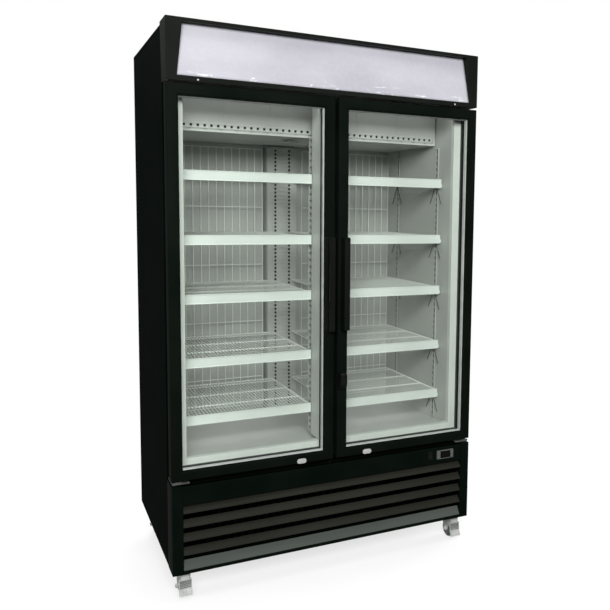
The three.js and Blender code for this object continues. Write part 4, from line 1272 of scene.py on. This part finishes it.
def add_wheel(name):
    """Wheel with a hub, a dished web and a rounded tread."""
    node = f"{name}_caster_wheel"
    wheel = Box(node)
    half = (wheel.x1 - wheel.x0) / 2
    radius = (wheel.z1 - wheel.z0) / 2
    web = half - 3.5 * MM
    half_profile = [
        (5.6 * MM, half - 2 * MM),
        (9 * MM, half),
        (12 * MM, half - 1 * MM),
        (13 * MM, web),
        (radius - 12 * MM, web),
        (radius - 11 * MM, half - 1 * MM),
        (radius - 4 * MM, half),
        (radius - 1 * MM, half - 2.5 * MM),
        (radius, half - 6 * MM),
    ]
    profile = [(r, -x) for r, x in half_profile] + half_profile[::-1]
    mesh = bmesh.new()
    add_turned(mesh, wheel.centre, "x", profile, 40)
    add_piece(f"{name}_wheel_tread", mesh, tread_grey, f"{name}_wheel", [node])


def add_pedal(name):
    """Brake pedal with a grip of five ridges across its slope."""
    node = f"{name}_brake_pedal"
    dress_node(node, zinc, 0.7 * MM)
    pedal = Box(node)
    side_margin = 3 * MM
    ridge_height = 3 * MM
    ridge_front = pedal.y0 + 9.3 * MM
    ridge_back = pedal.y0 + 13.5 * MM
    mesh = bmesh.new()
    for i in range(5):
        z = pedal.z0 + (26 + 6 * i) * MM
        ridge = rounded(rectangle(ridge_front, ridge_back, z, z + ridge_height), 1 * MM)
        add_prism(mesh, "x", ridge, pedal.x0 + side_margin, pedal.x1 - side_margin)
    add_piece(f"{name}_pedal_grip", mesh, tread_grey, f"{name}_pedal")


def add_caster(name):
    """Swivel caster: pressed fork, bearing race and wheel, and a brake pedal in front."""
    dress_node(f"{name}_caster_fork", zinc, 0.7 * MM)
    add_bearing_race(name)
    add_wheel(name)
    if name.startswith("front"):
        add_pedal(name)


# ---- studio

DIFFUSE_SKY = 0.17  # strength of the white surroundings as a light
GLOSSY_SKY = 0.12  # and in reflections


def add_light(name, location, target, size, power):
    """Rectangular light aimed at a target. size is (width, height) and power is in watts."""
    data = bpy.data.lights.new(name, "AREA")
    data.shape = "RECTANGLE"
    data.size, data.size_y = size
    data.energy = power
    light = bpy.data.objects.new(name, data)
    light.location = location
    aim = Vector(target) - Vector(location)
    light.rotation_euler = aim.to_track_quat("-Z", "Y").to_euler()
    bpy.context.scene.collection.objects.link(light)
    return light


def add_world():
    """White to the camera, and dim as a light and in reflections."""
    world = bpy.data.worlds.new("studio")
    bpy.context.scene.world = world
    world.use_nodes = True
    tree = world.node_tree
    rays = add_node(tree, "LightPath", {}).outputs
    glow = {"Value": rays["Is Glossy Ray"], "To Min": DIFFUSE_SKY, "To Max": GLOSSY_SKY}
    glow_strength = add_node(tree, "MapRange", glow).outputs["Result"]
    inputs = {0: glow_strength, 1: rays["Is Camera Ray"]}
    strength = add_node(tree, "Math", inputs, operation="MAXIMUM").outputs["Value"]
    feed(tree.nodes["Background"], {"Color": (1, 1, 1, 1), "Strength": strength})


def floor_material():
    """Pale matte floor that fades into the white background away from the object."""
    pale = surface("pale_floor", "", (0.9, 0.9, 0.9), (0.93, 0.93, 0.93), (0.7, 0.8), patch=2)
    tree = pale.node_tree
    place = add_node(tree, "TexCoord", {}).outputs["Object"]
    distance = add_node(tree, "VectorMath", {0: place}, operation="LENGTH").outputs["Value"]
    reach = {"Value": distance, "From Min": 0.9, "From Max": 2.6, "To Min": 0.7}
    fade = add_node(tree, "MapRange", reach).outputs["Result"]
    matte = tree.nodes["Principled BSDF"].outputs["BSDF"]
    glow = add_node(tree, "Emission", {}).outputs["Emission"]
    mix = add_node(tree, "MixShader", {0: fade, 1: matte, 2: glow})
    feed(tree.nodes["Material Output"], {"Surface": mix.outputs["Shader"]})
    return pale


def add_floor():
    """Wide floor that is seen and shadowed, but neither lights nor mirrors in the object."""
    mesh = bmesh.new()
    half = 30
    corners = rectangle(-half, half, -half, half)
    mesh.faces.new([mesh.verts.new((x, y, 0)) for x, y in corners])
    floor = bpy.data.objects.new("floor", finish_mesh(mesh, "floor", floor_material()))
    bpy.context.scene.collection.objects.link(floor)
    floor.visible_diffuse = False
    floor.visible_glossy = False


def add_camera():
    """Camera at the photo's viewing angle: at eye height on the left, fitted to the photo."""
    data = bpy.data.cameras.new("camera")
    data.sensor_width = 36
    data.lens = 43.71
    data.shift_x = -0.18
    data.shift_y = -0.0414
    camera = bpy.data.objects.new("camera", data)
    place = Matrix.Translation((-1.0511, -2.9602, 1.4094))
    yaw = Matrix.Rotation(math.radians(-28.088), 4, "Z")
    pitch = Matrix.Rotation(math.radians(90 - 5.385), 4, "X")
    roll = Matrix.Rotation(math.radians(0.985), 4, "Z")
    camera.matrix_world = place @ yaw @ pitch @ roll
    bpy.context.scene.collection.objects.link(camera)
    bpy.context.scene.camera = camera


def add_cabinet_lights():
    """Unseen soft lights in each bay: under its lowest shelf and behind the header."""
    down = Vector((0, 0, -1))
    back_and_down = Vector((0, 1, -0.6))
    for side in SIDES:
        lowest = Box(f"{side}_shelf_5")
        middle = lowest.centre
        under_shelf = Vector((middle.x, middle.y, lowest.z0 - 20 * MM))
        behind_header = Vector((middle.x, FRONT + 90 * MM, cover.z1 - 110 * MM))
        for name, place, aim, size, power in (
            ("bay", under_shelf, down, (0.42, 0.4), 0.22),
            ("header", behind_header, back_and_down, (0.5, 0.05), 0.15),
        ):
            light = add_light(f"{side}_{name}_light", place, place + aim, size, power)
            light.visible_camera = False


def add_studio():
    """Lights, surroundings, floor and camera. The main light has no mirror image."""
    add_cabinet_lights()
    add_world()
    add_floor()
    add_camera()
    add_light("overhead", (-0.3, -1.5, 4.4), (0, -0.5, 0.5), (3.5, 1.2), 45)
    main = add_light("camera_side", (-1.3, -4.3, 2.75), (0, 0, 1), (2.6, 1.4), 310)
    main.visible_glossy = False
    add_light("left_fill", (-3.6, 0.1, 1.3), (-0.6, -0.2, 1.1), (0.8, 3), 40)
    add_light("right_fill", (4.2, 0.6, 1.8), (0.6, 0, 1.1), (1.2, 3), 90)
    add_light("rear_fill", (0.8, 4.6, 3), (0, 0.4, 0.9), (3, 1.6), 200)
    bpy.context.scene.view_settings.view_transform = "Standard"


dress_case()
add_case_screws()
add_canopy()
add_grille()
add_controls()
for side in SIDES:
    add_door(side)
add_hasp()
add_interior()
add_machine()
for caster in ("front_left", "front_right", "rear_left", "rear_right"):
    add_caster(caster)
add_studio()
